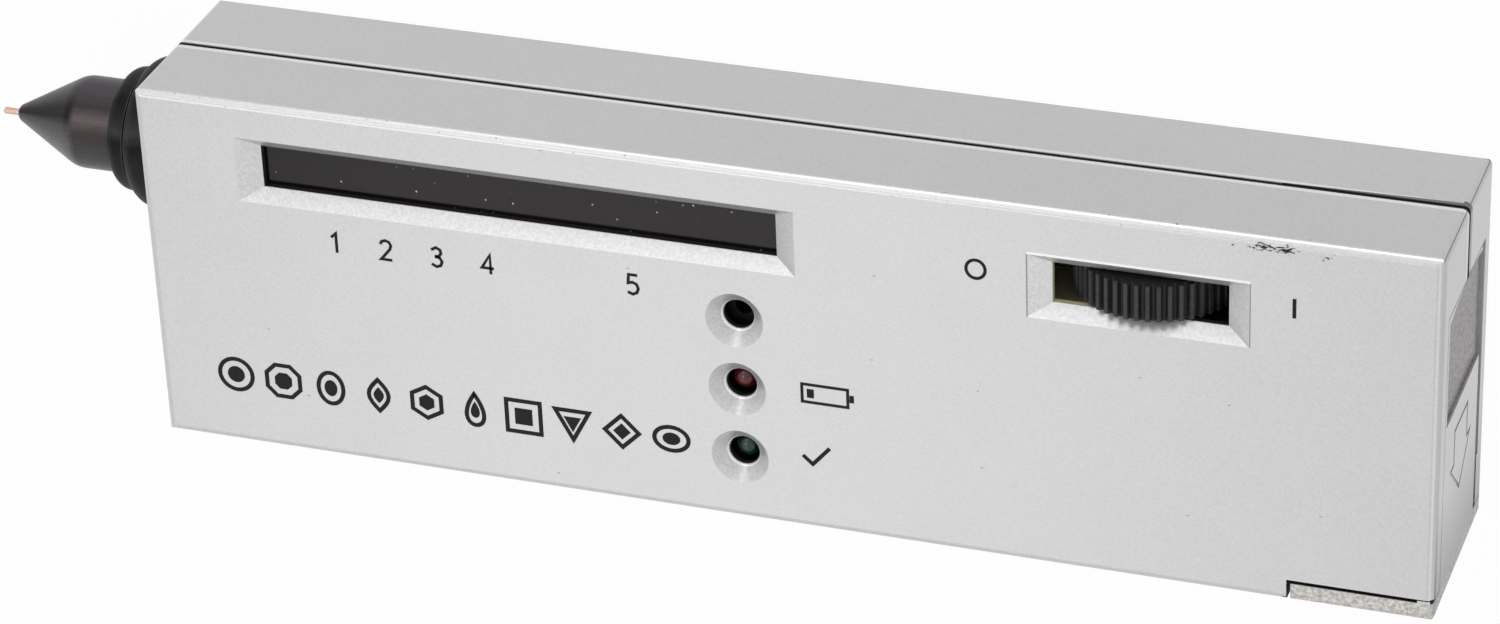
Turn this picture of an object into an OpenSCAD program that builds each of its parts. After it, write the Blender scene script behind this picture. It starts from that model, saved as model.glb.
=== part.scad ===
// Hand-held diamond tester: a flat two-part case with a thermal probe at one end, a window over a row of
// lamps, a thumbwheel that switches it on and sets its range, and a nine volt block battery behind a
// sliding door. It lies on its back: X runs along the case with the probe at -X, Y runs across it, and
// Z points out of the face. The origin is the middle of the flat back.

/* [Case] */
// Length of the case without the probe
case_l = 146.6; // [132:0.1:160]
// Width of the case
case_w = 43.8; // [39:0.2:50]
// Thickness of the case
case_d = 22.9; // [20.5:0.1:28]
// Thickness of the moulded walls
wall = 2.2; // [1.9:0.1:2.4]
// Rounding of the edges of the face
edge_r = 0.9; // [0.4:0.1:1.6]
// Rounding of the edges of the back
back_r = 0.3; // [0.2:0.1:1.6]
// Rounding of the four upright corners
corner_r = 0.8; // [0.4:0.1:3]
// Height of the seam between the two shells above the back
seam_h = 11.1; // [10:0.05:12]
// Width of the open groove at the seam
seam_gap = 0.5; // [0.2:0.05:0.8]
// Height of the tongue that closes the seam from inside
lip_h = 1.6; // [1:0.1:2.4]

/* [Window] */
// Length of the window's bevel on the face
window_l = 64.8; // [60:0.4:67]
// Height of the window's bevel on the face
window_h = 7.9; // [7.2:0.1:9]
// Distance of the window's middle from the probe end
window_x = 44.15; // [42:0.05:46]
// Distance of the window's middle from the upper long edge
window_y = 8.35; // [8:0.05:9]
// Width of the bevels at the short ends of the window and the slot
bevel_x = 2.5; // [1.5:0.1:3]
// Width of the bevels along the window and the slot
bevel_y = 1.4; // [0.8:0.1:1.8]
// Depth of the bevels
bevel_depth = 1.5; // [0.8:0.1:1.8]
// Depth of the lens below the foot of the bevel
lens_drop = 0.8; // [0.8:0.1:1.6]
// Thickness of the lens
lens_t = 1.5; // [1:0.1:2]
// Number of lamps in the row behind the window
bar_lamps = 10; // [8:2:12]

/* [Lamps] */
// Diameter of the round dishes on the face
dish_d = 6.6; // [5.6:0.1:7.4]
// Depth of the dishes
dish_depth = 1.3; // [0.8:0.1:1.6]
// Diameter of the hole in each dish
dish_hole_d = 3.5; // [3.3:0.1:4.2]
// Distance between the dishes
dish_pitch = 8.6; // [8.4:0.05:9]
// Distance of the dishes from the probe end
dish_x = 69.4; // [68:0.05:72]
// Distance of the middle dish from the lower long edge
dish_y = 16.45; // [15.5:0.05:17]
// Diameter of the round lamps in the lower two dishes
lamp_d = 3; // [2.8:0.1:3.2]
// Diameter of the buzzer behind the top dish
buzzer_d = 12; // [9:0.5:12.2]
// Height of the buzzer
buzzer_h = 8.5; // [6:0.5:9]

/* [Thumbwheel] */
// Diameter of the thumbwheel
wheel_d = 18.2; // [16:0.1:20]
// Thickness of the thumbwheel
wheel_t = 4.4; // [3.6:0.1:4.8]
// How far the rim stands out of the face
wheel_proud = 0.6; // [0.4:0.05:1.5]
// Distance of the wheel's axis from the battery end
wheel_x = 32.3; // [29:0.1:34]
// Distance of the wheel's middle from the upper long edge
wheel_y = 9.45; // [9:0.05:10]
// Number of ribs round the rim
wheel_ribs = 48; // [36:2:64]
// Depth of the grooves between the ribs
rib_depth = 0.5; // [0.2:0.05:0.7]
// Diameter of the shaft under the wheel
shaft_d = 3; // [2.4:0.1:4]
// Length of the slot's bevel on the face
slot_l = 24.05; // [22:0.05:26]
// Room at each side of the wheel in its slot
slot_gap = 0.2; // [0.15:0.05:0.5]

/* [Probe] */
// Distance of the probe's axis from the upper long edge
probe_y = 11.5; // [11:0.1:13]
// Height of the probe's axis above the back
probe_z = 11.4; // [10.6:0.05:12]
// Diameter of the round base on the end of the case
base_d = 17.4; // [16:0.2:19]
// Length of the round base
base_l = 4.5; // [4:0.05:6.5]
// Diameter of the collar in front of the base
collar_d = 14.2; // [13:0.1:15.4]
// Length of the collar
collar_l = 2.35; // [2:0.05:4]
// Diameter of the nose
nose_d = 10.6; // [9:0.1:11.6]
// Length of the straight part of the nose in front of the collar
nose_l = 5.45; // [3:0.05:7]
// Length of the cone
cone_l = 8.2; // [7:0.1:10]
// Diameter of the cone's small end
cone_end_d = 2; // [1.6:0.1:2.6]
// Rounding of the base's front edge
base_round = 2.5; // [1.2:0.1:3]
// Rounding of the collar's front edge; the nose has twice as much where its cone begins
probe_round = 1.6; // [0.8:0.1:1.8]
// Diameter of the metal tip
tip_d = 0.76; // [0.6:0.02:1]
// Length of tip that shows
tip_l = 2.1; // [1.5:0.1:3]
// How far the tip gives way when it is pressed
tip_travel = 1.2; // [0.6:0.1:1.5]
// Diameter of the heated sleeve round the tip, inside the nose
sleeve_d = 3.2; // [2.6:0.1:3.6]
// Number of curls in the spring behind the sleeve
spring_curls = 7; // [5:1:10]

/* [Battery] */
// Length of the battery without its studs
battery_l = 46; // [42:0.5:50]
// Width of the battery
battery_w = 26.2; // [24:0.1:28.5]
// Thickness of the battery
battery_t = 17.2; // [16.4:0.1:17.5]
// Distance between the battery's studs
stud_pitch = 12.7; // [12:0.1:13.4]

/* [Battery door] */
// Height of the door's outer plate
door_h = 35.4; // [31:0.1:36.5]
// Thickness of the door's outer plate
door_t = 1.8; // [1.5:0.1:2.2]
// Length of the door's foot along the lower edge
foot_l = 15.5; // [11:0.1:20]
// Thickness of the door's foot
foot_t = 2.2; // [1.6:0.1:2.3]
// Gap that shows round the door's foot
foot_gap = 0.45; // [0.2:0.05:0.6]
// Gap that shows between the door and the rear shell
door_rear_gap = 0.9; // [0.15:0.05:1.2]
// Width of the rear shell's rim beside the upper part of the door
rear_rim = 2.2; // [1.4:0.1:2.4]
// Length of that narrow part of the rim below the door's top
notch_l = 26.5; // [20:0.5:30]
// Length of the sunk thumb grip below the door's top
grip_l = 13.4; // [8:0.1:15]
// Depth of the thumb grip
grip_depth = 0.4; // [0.2:0.1:0.8]

/* [Screws] */
// Diameter of the case screws
screw_d = 2.6; // [2.2:0.1:3]
// Diameter of the circuit board screws
board_screw_d = 2; // [1.6:0.1:2.4]

/* [Hidden] */

$fn = 64;
// Overlap of a cut beyond the face that it opens
cut = 1;
// Running clearance of a shaft or a sleeve in its bore
run_gap = 0.05;
// Room between fixed pieces that slip together
slip_gap = 0.1;
// Room round the door and the battery
door_gap = 0.15;
bay_gap = 0.2;

// Edges and inner faces of the case
left = -case_l / 2;
right = case_l / 2;
top = case_w / 2;
bottom = -case_w / 2;
left_in = left + wall;
right_in = right - wall;
top_in = top - wall;
bottom_in = bottom + wall;
front_in = case_d - wall;
// The tongue takes the inner part of the wall's thickness
lip_t = 1;

// Window, lens and the row of lamps behind it
window_at = [left + window_x, top - window_y];
window_in = [window_l - 2 * bevel_x, window_h - 2 * bevel_y];
lens_z = case_d - max(bevel_depth + lens_drop, wall);
lens_margin = 1.6;
frame_margin = 1.4;
lamp_pitch = window_in[0] / bar_lamps;
bar_lamp = [lamp_pitch - 1, 2, 6];
holder_wall = 1.2;
holder_h = 5;

// Battery, its bay and its clip
bay_end = 1.4;
battery_right = right - door_t - bay_end;
battery_at = [battery_right - battery_l, bottom_in + bay_gap, (case_d - battery_t) / 2];
battery_round = 1.6;
stud_l = 2.6;
stud_d = 5.6;
socket_d = 7.8;
socket_floor = 0.6;
bay_wall_y = battery_at[1] + battery_w + bay_gap;
bay_wall_t = 1.3;
bay_rib_x = 9;
stud_mid = battery_at[1] + battery_w / 2;
clip_t = 1.2;
clip_h = 12.5;
clip_stud_l = 2;
clip_room = 2.1;
clip_rim = 1.5;
clip_right = battery_at[0] - clip_room;
clip_left = clip_right - clip_t - clip_stud_l;

// Circuit board, from the left end of the lamp row to the battery's clip
board_drop = 11.9;
board_t = 1.6;
board_top = case_d - board_drop;
board_left = window_at[0] - window_in[0] / 2 - holder_wall;
board_side = 1.1;
board_gap = 1.4;
board_right = clip_left - board_gap;

// Thumbwheel and the control that it turns. The wheel stays clear of the battery's bay
wheel_clear = 0.3;
wheel_mid = max(top - wheel_y, bay_wall_y + bay_wall_t + wheel_clear + wheel_t / 2);
axis = [right - wheel_x, wheel_mid, case_d + wheel_proud - wheel_d / 2];
slot_shift = 0.1;
slot_at = [axis[0] - slot_shift, axis[1]];
slot_in = [slot_l - 2 * bevel_x, wheel_t + 2 * slot_gap];
wheel_top = axis[1] + wheel_t / 2;
wheel_under = axis[1] - wheel_t / 2;
// The ribs stop short of the wheel's two faces
rim_step = 0.1;
pot_gap = 0.4;
pot_w = 9.5;
pot = [pot_w, top_in - bay_gap - wheel_top - pot_gap, front_in - bay_gap - board_top];
pot_bore_l = pot[1] / 2;
wheel_screw_head = [4.6, 1.2];

// Probe, measured outwards from the end of the case
probe_at = [left, top - probe_y, probe_z];
collar_from = base_l;
collar_to = base_l + collar_l;
cone_from = collar_to + nose_l;
cone_to = cone_from + cone_l;
cone_edge = 0.3;
neck_d = 12;
// Step on the nose that the collar snaps round
collar_step = 0.3;
shank_d = 8;
flange_d = 14.8;
flange_t = 1.5;
sleeve_l = 7;
sleeve_in = 4;
sleeve_to = cone_from + sleeve_in;
sleeve_from = sleeve_to - sleeve_l;
tip_in = 3;
// The spring has room to close by the tip's travel, and a plug behind it ends flush with the shank
spring_wire = 0.3;
spring_room = 0.25;
spring_spare = 8.2;
spring_l = spring_curls * spring_wire + tip_travel + spring_spare;
plug_l = 4;
plug_out = sleeve_from - spring_l - 2 * slip_gap;
shank_in = plug_l - plug_out;

// Door: outer plate, tongue in the grooves of both shells, and foot
door_top = bottom + door_h;
door_lip = 0.5;
groove = 0.85;
tongue_t = 1.2;
door_z = [wall + door_lip, case_d - wall - door_lip];
plate_z = [door_z[0] + door_rear_gap, door_z[1] - door_gap];
tongue_z = [wall - groove + door_gap, case_d - wall + groove - door_gap];
tongue_x = right - door_t - tongue_t;
// Small nick where the seam meets the door
seam_nick = 0.7;
// Round top of the thumb grip, its highest point above the back, and the rim left beside it
grip_r = 40;
grip_z = 10.5;
grip_rim = 0.6;
// Arrow engraved as a line: half width and length of its shaft and of its head
arrow_shaft = [3.4, 4.2];
arrow_head = [5.4, 5];
arrow_line = 0.45;
arrow_depth = 0.2;
arrow_drop = 2.7;

// Parts on the circuit board: a row of chips below the lamps, a row below that, and a row at the edge
chip_drop = 7.2;
chip_pitch = 2.54;
chip_row = 7.62;
chip_body = [6.4, 3.3];
chip_lift = 0.5;
leg_t = 0.5;
leg_w = 1.2;
chip_y = window_at[1] - chip_drop;
edge_row = 6.8;
edge_y = bottom + edge_row;
amplifier_x = 10.2;
driver_x = 28.7;
capacitor_d = 5;
capacitor_h = 7;
capacitor_x = 11.2;
capacitor_pitch = 6;
trimmer_w = 6.4;
trimmer_h = 4.8;
trimmer_slot_w = 0.6;
trimmer_edge_x = 24;
trimmer_row_x = 38.5;
resistor_d = 2.2;
resistor_l = 5.6;
resistor_leg = 0.6;
resistor_x = 20.7;
resistor_pitch = 3.2;
resistor_drop = 4.9;
row_drop = 9;
row_y = chip_y - row_drop;

// Rounded lip where a dish meets its hole
dish_lip = 0.35;

// Round lamps: the dome ends inside the dish's hole
lamp_body = 2.8;
lamp_flange = 1;
lamp_rim = 0.4;
lamp_drop = 0.7;
lamp_leg_x = 0.9;
lamp_tip = case_d - dish_depth - lamp_drop;
lamp_foot = lamp_tip - lamp_d / 2 - lamp_body - lamp_flange;
bar_lift = 1;
buzzer_port = 2;
// The dishes stay clear of the window, and the buzzer of the lamp holder
dish_clear = 0.6;
dish_mid = min(bottom + dish_y, window_at[1] - window_h / 2 - dish_clear - dish_d / 2 - dish_pitch);
buzzer_y = min(dish_mid + dish_pitch, window_at[1] - bar_lamp[1] / 2 - holder_wall - slip_gap - buzzer_d / 2);

// Screws: case screws from the back, board screws into posts of the front shell
boss_d = 6.4;
post_d = 4.8;
screw_head = [4.8, 1.8];
screw_slot = 0.6;
head_drop = 3;
screw_l = 13;
board_head = [3.8, 1.3];
board_screw_l = 6;
boss_y = 6.3;
boss_top_x = (window_at[0] + window_l / 2 + slot_at[0] - slot_l / 2) / 2;
boss_end_y = (bay_wall_y + bay_wall_t + top_in) / 2;
boss_left = 7;
boss_right = 14;
boss_board = 40;
case_screw_at = [
    [left + boss_left, bottom + boss_y],
    [board_left + boss_board, bottom + boss_y],
    [boss_top_x, top - boss_y],
    [right - boss_right, boss_end_y]
];
post_left = 4.5;
post_mid = 31.5;
post_drop = 10;
post_gap = 0.6;
post_at = [
    [board_left + post_left, bottom + boss_y],
    [board_left + post_left, chip_y - post_drop],
    [board_left + post_mid, bottom + boss_y],
    [boss_top_x + boss_d / 2 + post_gap + post_d / 2, top - boss_y]
];

// Leads inside the case, as steps from the probe's plug or the battery's clip, and heights above the board
probe_lead_d = 0.9;
probe_lead_from = [left + shank_in, probe_at[1], 0];
probe_rise = [probe_z, probe_z + 0.6, board_top + 1.6, board_top + 1.4, board_top + 0.5];
probe_steps = [
    [[0.3, -0.6], [2.3, -0.8], [4.8, -2], [7.3, -3], [9.3, -3.2]],
    [[0.3, 0.6], [2.5, 0.2], [5.3, -1.2], [8.3, -1.6], [10.3, -1.6]]
];
battery_lead_d = 1.4;
clip_rise = [1.4, 1.4, 2, 2.2, 0.8];
clip_steps = [[-0.1, 0], [-0.9, 0], [-2, 0], [-3.4, 0], [-4.9, 0]];
red_lead_y = stud_mid + 2.1;
black_lead_y = stud_mid - 1.9;

// Colours
silver = [0.80, 0.80, 0.80];
black = [0.10, 0.10, 0.10];
dark = [0.22, 0.21, 0.21];
steel = [0.72, 0.72, 0.74];
copper = [0.80, 0.50, 0.34];
green = [0.10, 0.40, 0.18];

// Rectangle with round corners about the origin
module round_rect(size, r) {
    square([size[0] - 2 * r, size[1]], center = true);
    square([size[0], size[1] - 2 * r], center = true);
    for (x = [-1, 1], y = [-1, 1])
        translate([x * (size[0] / 2 - r), y * (size[1] / 2 - r)])
            circle(r);
}

// Box between two corners
module box(low, high) {
    translate(low)
        cube(high - low);
}

// Round bar along Y that starts at the given point
module bar_y(at, d, l) {
    translate(at)
        rotate([-90, 0, 0])
            cylinder(d = d, h = l);
}

// Turned shape on the probe's axis, from a profile of [radius, distance out from the case]
module on_probe() {
    translate(probe_at)
        rotate([0, -90, 0])
            children();
}

// Bevelled pocket in the face: wide at the face and bevel_depth deep
module bevel_pocket(at, inner) {
    low = case_d - bevel_depth;
    spread = (bevel_depth + cut) / bevel_depth;
    intersection() {
        translate([at[0], at[1] + inner[1] / 2 + bevel_y * spread, 0])
            rotate([90, 0, 0])
                linear_extrude(inner[1] + 2 * bevel_y * spread)
                    trapezoid(inner[0], bevel_x * spread, low);
        translate([at[0] - inner[0] / 2 - bevel_x * spread, at[1], 0])
            rotate([90, 0, 90])
                linear_extrude(inner[0] + 2 * bevel_x * spread)
                    trapezoid(inner[1], bevel_y * spread, low);
    }
}

// Section of a bevelled pocket, from its foot to above the face
module trapezoid(foot, flare, low) {
    high = case_d + cut;
    polygon([
        [-foot / 2, low], [foot / 2, low],
        [foot / 2 + flare, high], [-foot / 2 - flare, high]
    ]);
}

// Whole outside of the case with its edges rounded
module case_block() {
    intersection() {
        linear_extrude(case_d)
            round_rect([case_l, case_w], corner_r);
        translate([0, top + cut, 0])
            rotate([90, 0, 0])
                linear_extrude(case_w + 2 * cut)
                    side_section(case_l);
        translate([left - cut, 0, 0])
            rotate([90, 0, 90])
                linear_extrude(case_l + 2 * cut)
                    side_section(case_w);
    }
}

// Section through the thickness of the case, of the given width, with the back at the bottom
module side_section(w) {
    translate([-w / 2, back_r])
        square([w, case_d - edge_r - back_r]);
    translate([back_r - w / 2, 0])
        square([w - 2 * back_r, case_d / 2]);
    translate([edge_r - w / 2, case_d / 2])
        square([w - 2 * edge_r, case_d / 2]);
    for (side = [-1, 1]) {
        translate([side * (w / 2 - back_r), back_r])
            circle(back_r);
        translate([side * (w / 2 - edge_r), case_d - edge_r])
            circle(edge_r);
    }
}

// What the door, its grooves and the probe's neck take out of both shells
module end_cuts() {
    box([right_in - cut, bottom_in - cut, door_z[0]], [right + cut, door_top + door_gap, door_z[1]]);
    box([right_in - cut, door_top - notch_l, rear_rim], [right + cut, door_top + door_gap, door_z[1]]);
    box([right - seam_nick, door_top, seam_h - seam_nick / 2],
        [right + cut, door_top + seam_nick, seam_h + seam_nick / 2]);
    box([tongue_x - door_gap, bottom - cut, tongue_z[0] - door_gap],
        [tongue_x + tongue_t + slip_gap, door_top + door_gap, tongue_z[1] + door_gap]);
    box([right - foot_l - foot_gap, bottom - cut, -cut],
        [right + cut, bottom + foot_t + foot_gap, case_d + cut]);
    translate([left - cut, probe_at[1], probe_z])
        rotate([0, 90, 0])
            cylinder(d = neck_d + 2 * slip_gap, h = wall + 2 * cut);
    translate([left_in, probe_at[1], probe_z])
        rotate([0, 90, 0])
            cylinder(d = flange_d + 2 * slip_gap, h = flange_t + slip_gap);
}

// Wall between the battery and the circuit, from one height to another
module bay_wall(from, to) {
    box([battery_at[0], bay_wall_y, from], [tongue_x - 2 * bay_gap, bay_wall_y + bay_wall_t, to]);
}

// Room that the battery and its clip need between the two shells
module battery_room() {
    box([clip_left - bay_gap, battery_at[1], battery_at[2] - bay_gap],
        [tongue_x, bay_wall_y - slip_gap, battery_at[2] + battery_t + bay_gap]);
}

// Section of the case at the seam, smaller by the given amount all round
module seam_outline(inset) {
    r = max(corner_r - inset, 0.2);
    round_rect([case_l - 2 * inset, case_w - 2 * inset], r);
}

module front_shell() {
    rim = seam_h + seam_gap / 2;
    color(silver)
        difference() {
            union() {
                difference() {
                    intersection() {
                        case_block();
                        box([left - cut, bottom - cut, rim], [right + cut, top + cut, case_d + cut]);
                    }
                    translate([0, 0, rim - cut])
                        linear_extrude(front_in - rim + cut)
                            seam_outline(wall);
                    translate([0, 0, rim - cut])
                        linear_extrude(seam_h + lip_h - rim + cut)
                            seam_outline(wall - lip_t - slip_gap);
                }
                // Frame behind the window that the lens is glued to
                if (lens_z < front_in)
                    translate([window_at[0], window_at[1], lens_z])
                        linear_extrude(front_in - lens_z)
                            square(window_in + 2 * (lens_margin + frame_margin) * [1, 0.6], center = true);
                // Posts for the circuit board and bosses for the case screws
                for (at = post_at)
                    translate([at[0], at[1], board_top])
                        cylinder(d = post_d, h = front_in - board_top);
                for (at = case_screw_at)
                    translate([at[0], at[1], seam_h])
                        cylinder(d = boss_d, h = front_in - seam_h);
                bay_wall(rim, front_in);
            }
            bevel_pocket(window_at, window_in);
            translate([window_at[0], window_at[1], lens_z - cut])
                linear_extrude(case_d - lens_z)
                    square(window_in, center = true);
            bevel_pocket(slot_at, slot_in);
            translate([slot_at[0], slot_at[1], front_in - cut])
                linear_extrude(wall)
                    square(slot_in, center = true);
            for (i = [-1:1])
                translate([dish_at(i)[0], dish_at(i)[1], 0])
                    rotate_extrude()
                        polygon(dish_profile());
            for (at = post_at)
                translate([at[0], at[1], board_top - cut])
                    cylinder(d = board_screw_d + 2 * run_gap, h = board_screw_l + cut);
            for (at = case_screw_at)
                translate([at[0], at[1], seam_h - cut])
                    cylinder(d = screw_d + 2 * run_gap, h = head_drop + screw_l - seam_h + 2 * cut);
            battery_room();
            end_cuts();
        }
}

// Half section of a dish: its hole, a rounded lip and the cone that opens to the face
function dish_profile() =
    let (r = dish_hole_d / 2, low = case_d - dish_depth - dish_lip)
    [
        [0, front_in - cut], [r, front_in - cut],
        for (a = [0:15:45]) [r + dish_lip * (1 - cos(a)), low + dish_lip * sin(a)],
        [dish_d / 2, case_d], [dish_d / 2, case_d + cut], [0, case_d + cut]
    ];

module rear_shell() {
    rim = seam_h - seam_gap / 2;
    color(silver)
        difference() {
            union() {
                difference() {
                    union() {
                        intersection() {
                            case_block();
                            box([left - cut, bottom - cut, -cut], [right + cut, top + cut, rim]);
                        }
                        translate([0, 0, rim - cut])
                            linear_extrude(seam_h + lip_h - rim + cut)
                                seam_outline(wall - lip_t);
                    }
                    translate([0, 0, wall])
                        linear_extrude(case_d)
                            seam_outline(wall);
                    battery_room();
                }
                for (at = case_screw_at)
                    translate([at[0], at[1], wall])
                        cylinder(d = boss_d, h = seam_h - wall);
                bay_wall(wall, rim);
                // Two ribs that the battery lies on
                for (x = [battery_at[0] + bay_rib_x, battery_right - bay_rib_x])
                    translate([x, battery_at[1], wall / 2])
                        cube([bay_wall_t, battery_w, battery_at[2] - wall / 2]);
            }
            for (at = case_screw_at)
                translate([at[0], at[1], -cut]) {
                    cylinder(d = screw_head[0] + 2 * bay_gap, h = head_drop + cut);
                    cylinder(d = screw_d + 2 * slip_gap, h = seam_h + 2 * cut);
                }
            end_cuts();
        }
}

module battery_door() {
    color(silver)
        difference() {
            union() {
                // Outer plate, flush with the end of the case
                intersection() {
                    case_block();
                    box([right - door_t, bottom, plate_z[0]], [right, door_top, plate_z[1]]);
                }
                // Tongue that runs in the grooves
                box([tongue_x, bottom + foot_t, tongue_z[0]], [right - door_t, door_top, tongue_z[1]]);
                // Foot along the lower edge, whose gap narrows at the end of the case
                intersection() {
                    case_block();
                    union() {
                        box([right - foot_l, bottom, 0], [right, bottom + foot_t, case_d]);
                        box([right - door_t, bottom, 0],
                            [right, bottom + foot_t + foot_gap - door_gap, case_d]);
                    }
                }
            }
            // Sunk thumb grip with a round top
            translate([right - grip_depth, door_top, 0])
                rotate([90, 0, 90])
                    linear_extrude(grip_depth + cut)
                        thumb_grip();
            // Arrow that points the way the door slides
            translate([right - arrow_depth, door_top - grip_l - arrow_drop, (plate_z[0] + plate_z[1]) / 2])
                rotate([90, 0, 90])
                    linear_extrude(arrow_depth + cut)
                        difference() {
                            polygon(arrow_points(0));
                            polygon(arrow_points(arrow_line));
                        }
        }
}

// Outline of the thumb grip: up the door from its top edge, then across the door
module thumb_grip() {
    intersection() {
        translate([-grip_l, plate_z[0] - cut])
            square([grip_l + cut, plate_z[1] - grip_rim - plate_z[0] + cut]);
        translate([-grip_r, grip_z])
            circle(grip_r, $fn = 128);
    }
}

// Outline of the arrow drawn in by the given amount all round, with its head towards the lower edge
function arrow_points(inset) =
    let (
        a = arrow_shaft[0] - inset,
        slant = inset * norm(arrow_head),
        h = arrow_head[0] * (1 - inset / arrow_head[1]) - slant / arrow_head[1],
        shoulder = -arrow_shaft[1] - inset,
        tip = -arrow_shaft[1] - arrow_head[1] + slant / arrow_head[0]
    )
    [
        [-inset, a], [shoulder, a], [shoulder, h], [tip, 0],
        [shoulder, -h], [shoulder, -a], [-inset, -a]
    ];

module window_lens() {
    color([0.16, 0.15, 0.16, 0.9])
        translate([window_at[0], window_at[1], lens_z - lens_t])
            linear_extrude(lens_t)
                square(window_in + 2 * lens_margin * [1, 0.6], center = true);
}

// Place of lamp number i in the row, at the height of the board
function bar_lamp_at(i) = [
    window_at[0] - window_in[0] / 2 + (i + 0.5) * lamp_pitch, window_at[1], board_top
];

// Flat lamps number first to last of the row, with two legs each
module bar_lamp_row(first, last) {
    for (i = [first:last])
        translate(bar_lamp_at(i)) {
            translate([-bar_lamp[0] / 2, -bar_lamp[1] / 2, bar_lift])
                cube(bar_lamp);
            for (side = [-1, 1])
                translate([side * bar_lamp[0] / 4 - leg_t / 2, -leg_t / 2, 0])
                    cube([leg_t, leg_t, bar_lift + cut]);
        }
}

module lamp_holder() {
    color(black)
        difference() {
            translate([window_at[0], window_at[1], board_top])
                linear_extrude(holder_h)
                    square([window_in[0] + 2 * holder_wall, bar_lamp[1] + 2 * holder_wall], center = true);
            for (i = [0:bar_lamps - 1])
                translate(bar_lamp_at(i) - [bar_lamp[0] / 2 + slip_gap, bar_lamp[1] / 2 + slip_gap, cut])
                    cube([bar_lamp[0] + 2 * slip_gap, bar_lamp[1] + 2 * slip_gap, holder_h + 2 * cut]);
        }
}

module green_lamps() {
    color([0.55, 0.75, 0.50])
        bar_lamp_row(0, floor(bar_lamps * 0.5) - 1);
}

module yellow_lamps() {
    color([0.85, 0.75, 0.35])
        bar_lamp_row(floor(bar_lamps * 0.5), floor(bar_lamps * 0.8) - 1);
}

module red_lamps() {
    color([0.75, 0.25, 0.20])
        bar_lamp_row(floor(bar_lamps * 0.8), bar_lamps - 1);
}

// Place of the lamp or port in row i below the middle dish
function dish_at(i) = [left + dish_x, dish_mid - i * dish_pitch];

module round_lamp(at) {
    translate([at[0], at[1], lamp_foot]) {
        cylinder(d = lamp_d + 2 * lamp_rim, h = lamp_flange);
        cylinder(d = lamp_d, h = lamp_flange + lamp_body);
        translate([0, 0, lamp_flange + lamp_body])
            intersection() {
                sphere(d = lamp_d);
                cylinder(d = lamp_d + cut, h = lamp_d);
            }
    }
    for (side = [-1, 1])
        translate([at[0] + side * lamp_leg_x - leg_t / 2, at[1] - leg_t / 2, board_top])
            cube([leg_t, leg_t, lamp_foot - board_top + lamp_flange / 2]);
}

module low_battery_lamp() {
    color([0.42, 0.10, 0.10])
        round_lamp(dish_at(0));
}

module ready_lamp() {
    color([0.08, 0.22, 0.13])
        round_lamp(dish_at(1));
}

module lamp_spacers() {
    color(black)
        for (i = [0, 1])
            translate([dish_at(i)[0], dish_at(i)[1], board_top])
                difference() {
                    cylinder(d = lamp_d + 2 * lamp_rim, h = lamp_foot - board_top);
                    translate([-lamp_leg_x - leg_t, -leg_t, -cut])
                        cube([2 * (lamp_leg_x + leg_t), 2 * leg_t, case_d]);
                }
}

module buzzer() {
    color(black)
        translate([left + dish_x, buzzer_y, board_top])
            difference() {
                cylinder(d = buzzer_d, h = buzzer_h);
                translate([0, 0, buzzer_h - buzzer_port])
                    cylinder(d = buzzer_port, h = buzzer_port + cut);
            }
}

// Corner points of the ribbed rim: each rib is a flat crest between two sloping sides
function rim_points() = [
    for (i = [0:wheel_ribs - 1], edge = [[-0.18, 1], [0.18, 1], [0.36, 0], [0.64, 0]])
        let (a = 360 * (i + edge[0]) / wheel_ribs, r = wheel_d / 2 - (1 - edge[1]) * rib_depth)
        r * [cos(a), sin(a)]
];

module thumbwheel() {
    color(black)
        translate([axis[0], wheel_under, axis[2]])
            rotate([-90, 0, 0])
                difference() {
                    union() {
                        translate([0, 0, rim_step])
                            linear_extrude(wheel_t - 2 * rim_step)
                                polygon(rim_points());
                        cylinder(d = wheel_d - 2 * rib_depth - slip_gap, h = wheel_t);
                    }
                    translate([0, 0, -cut])
                        cylinder(d = shaft_d, h = wheel_t + 2 * cut);
                    translate([0, 0, -cut])
                        cylinder(d = wheel_screw_head[0] + 2 * slip_gap, h = wheel_screw_head[1] + cut);
                }
}

module wheel_screw() {
    color(steel)
        difference() {
            union() {
                bar_y([axis[0], wheel_under, axis[2]], wheel_screw_head[0], wheel_screw_head[1]);
                bar_y([axis[0], wheel_under, axis[2]], shaft_d / 2, wheel_t);
            }
            translate([axis[0] - wheel_d / 2, wheel_under - cut, axis[2] - screw_slot / 2])
                cube([wheel_d, cut + wheel_screw_head[1] / 2, screw_slot]);
        }
}

module pot_shaft() {
    from = wheel_under + wheel_screw_head[1];
    color(steel)
        difference() {
            bar_y([axis[0], from, axis[2]], shaft_d, wheel_top + pot_gap + pot_bore_l - slip_gap - from);
            bar_y([axis[0], from - cut, axis[2]], shaft_d / 2, wheel_under + wheel_t - from + cut);
        }
}

module pot_body() {
    color([0.35, 0.30, 0.22])
        difference() {
            translate([axis[0] - pot[0] / 2, wheel_top + pot_gap, board_top])
                cube(pot);
            bar_y([axis[0], wheel_top + pot_gap - cut, axis[2]], shaft_d + 2 * run_gap, pot_bore_l + cut);
        }
}

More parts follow.
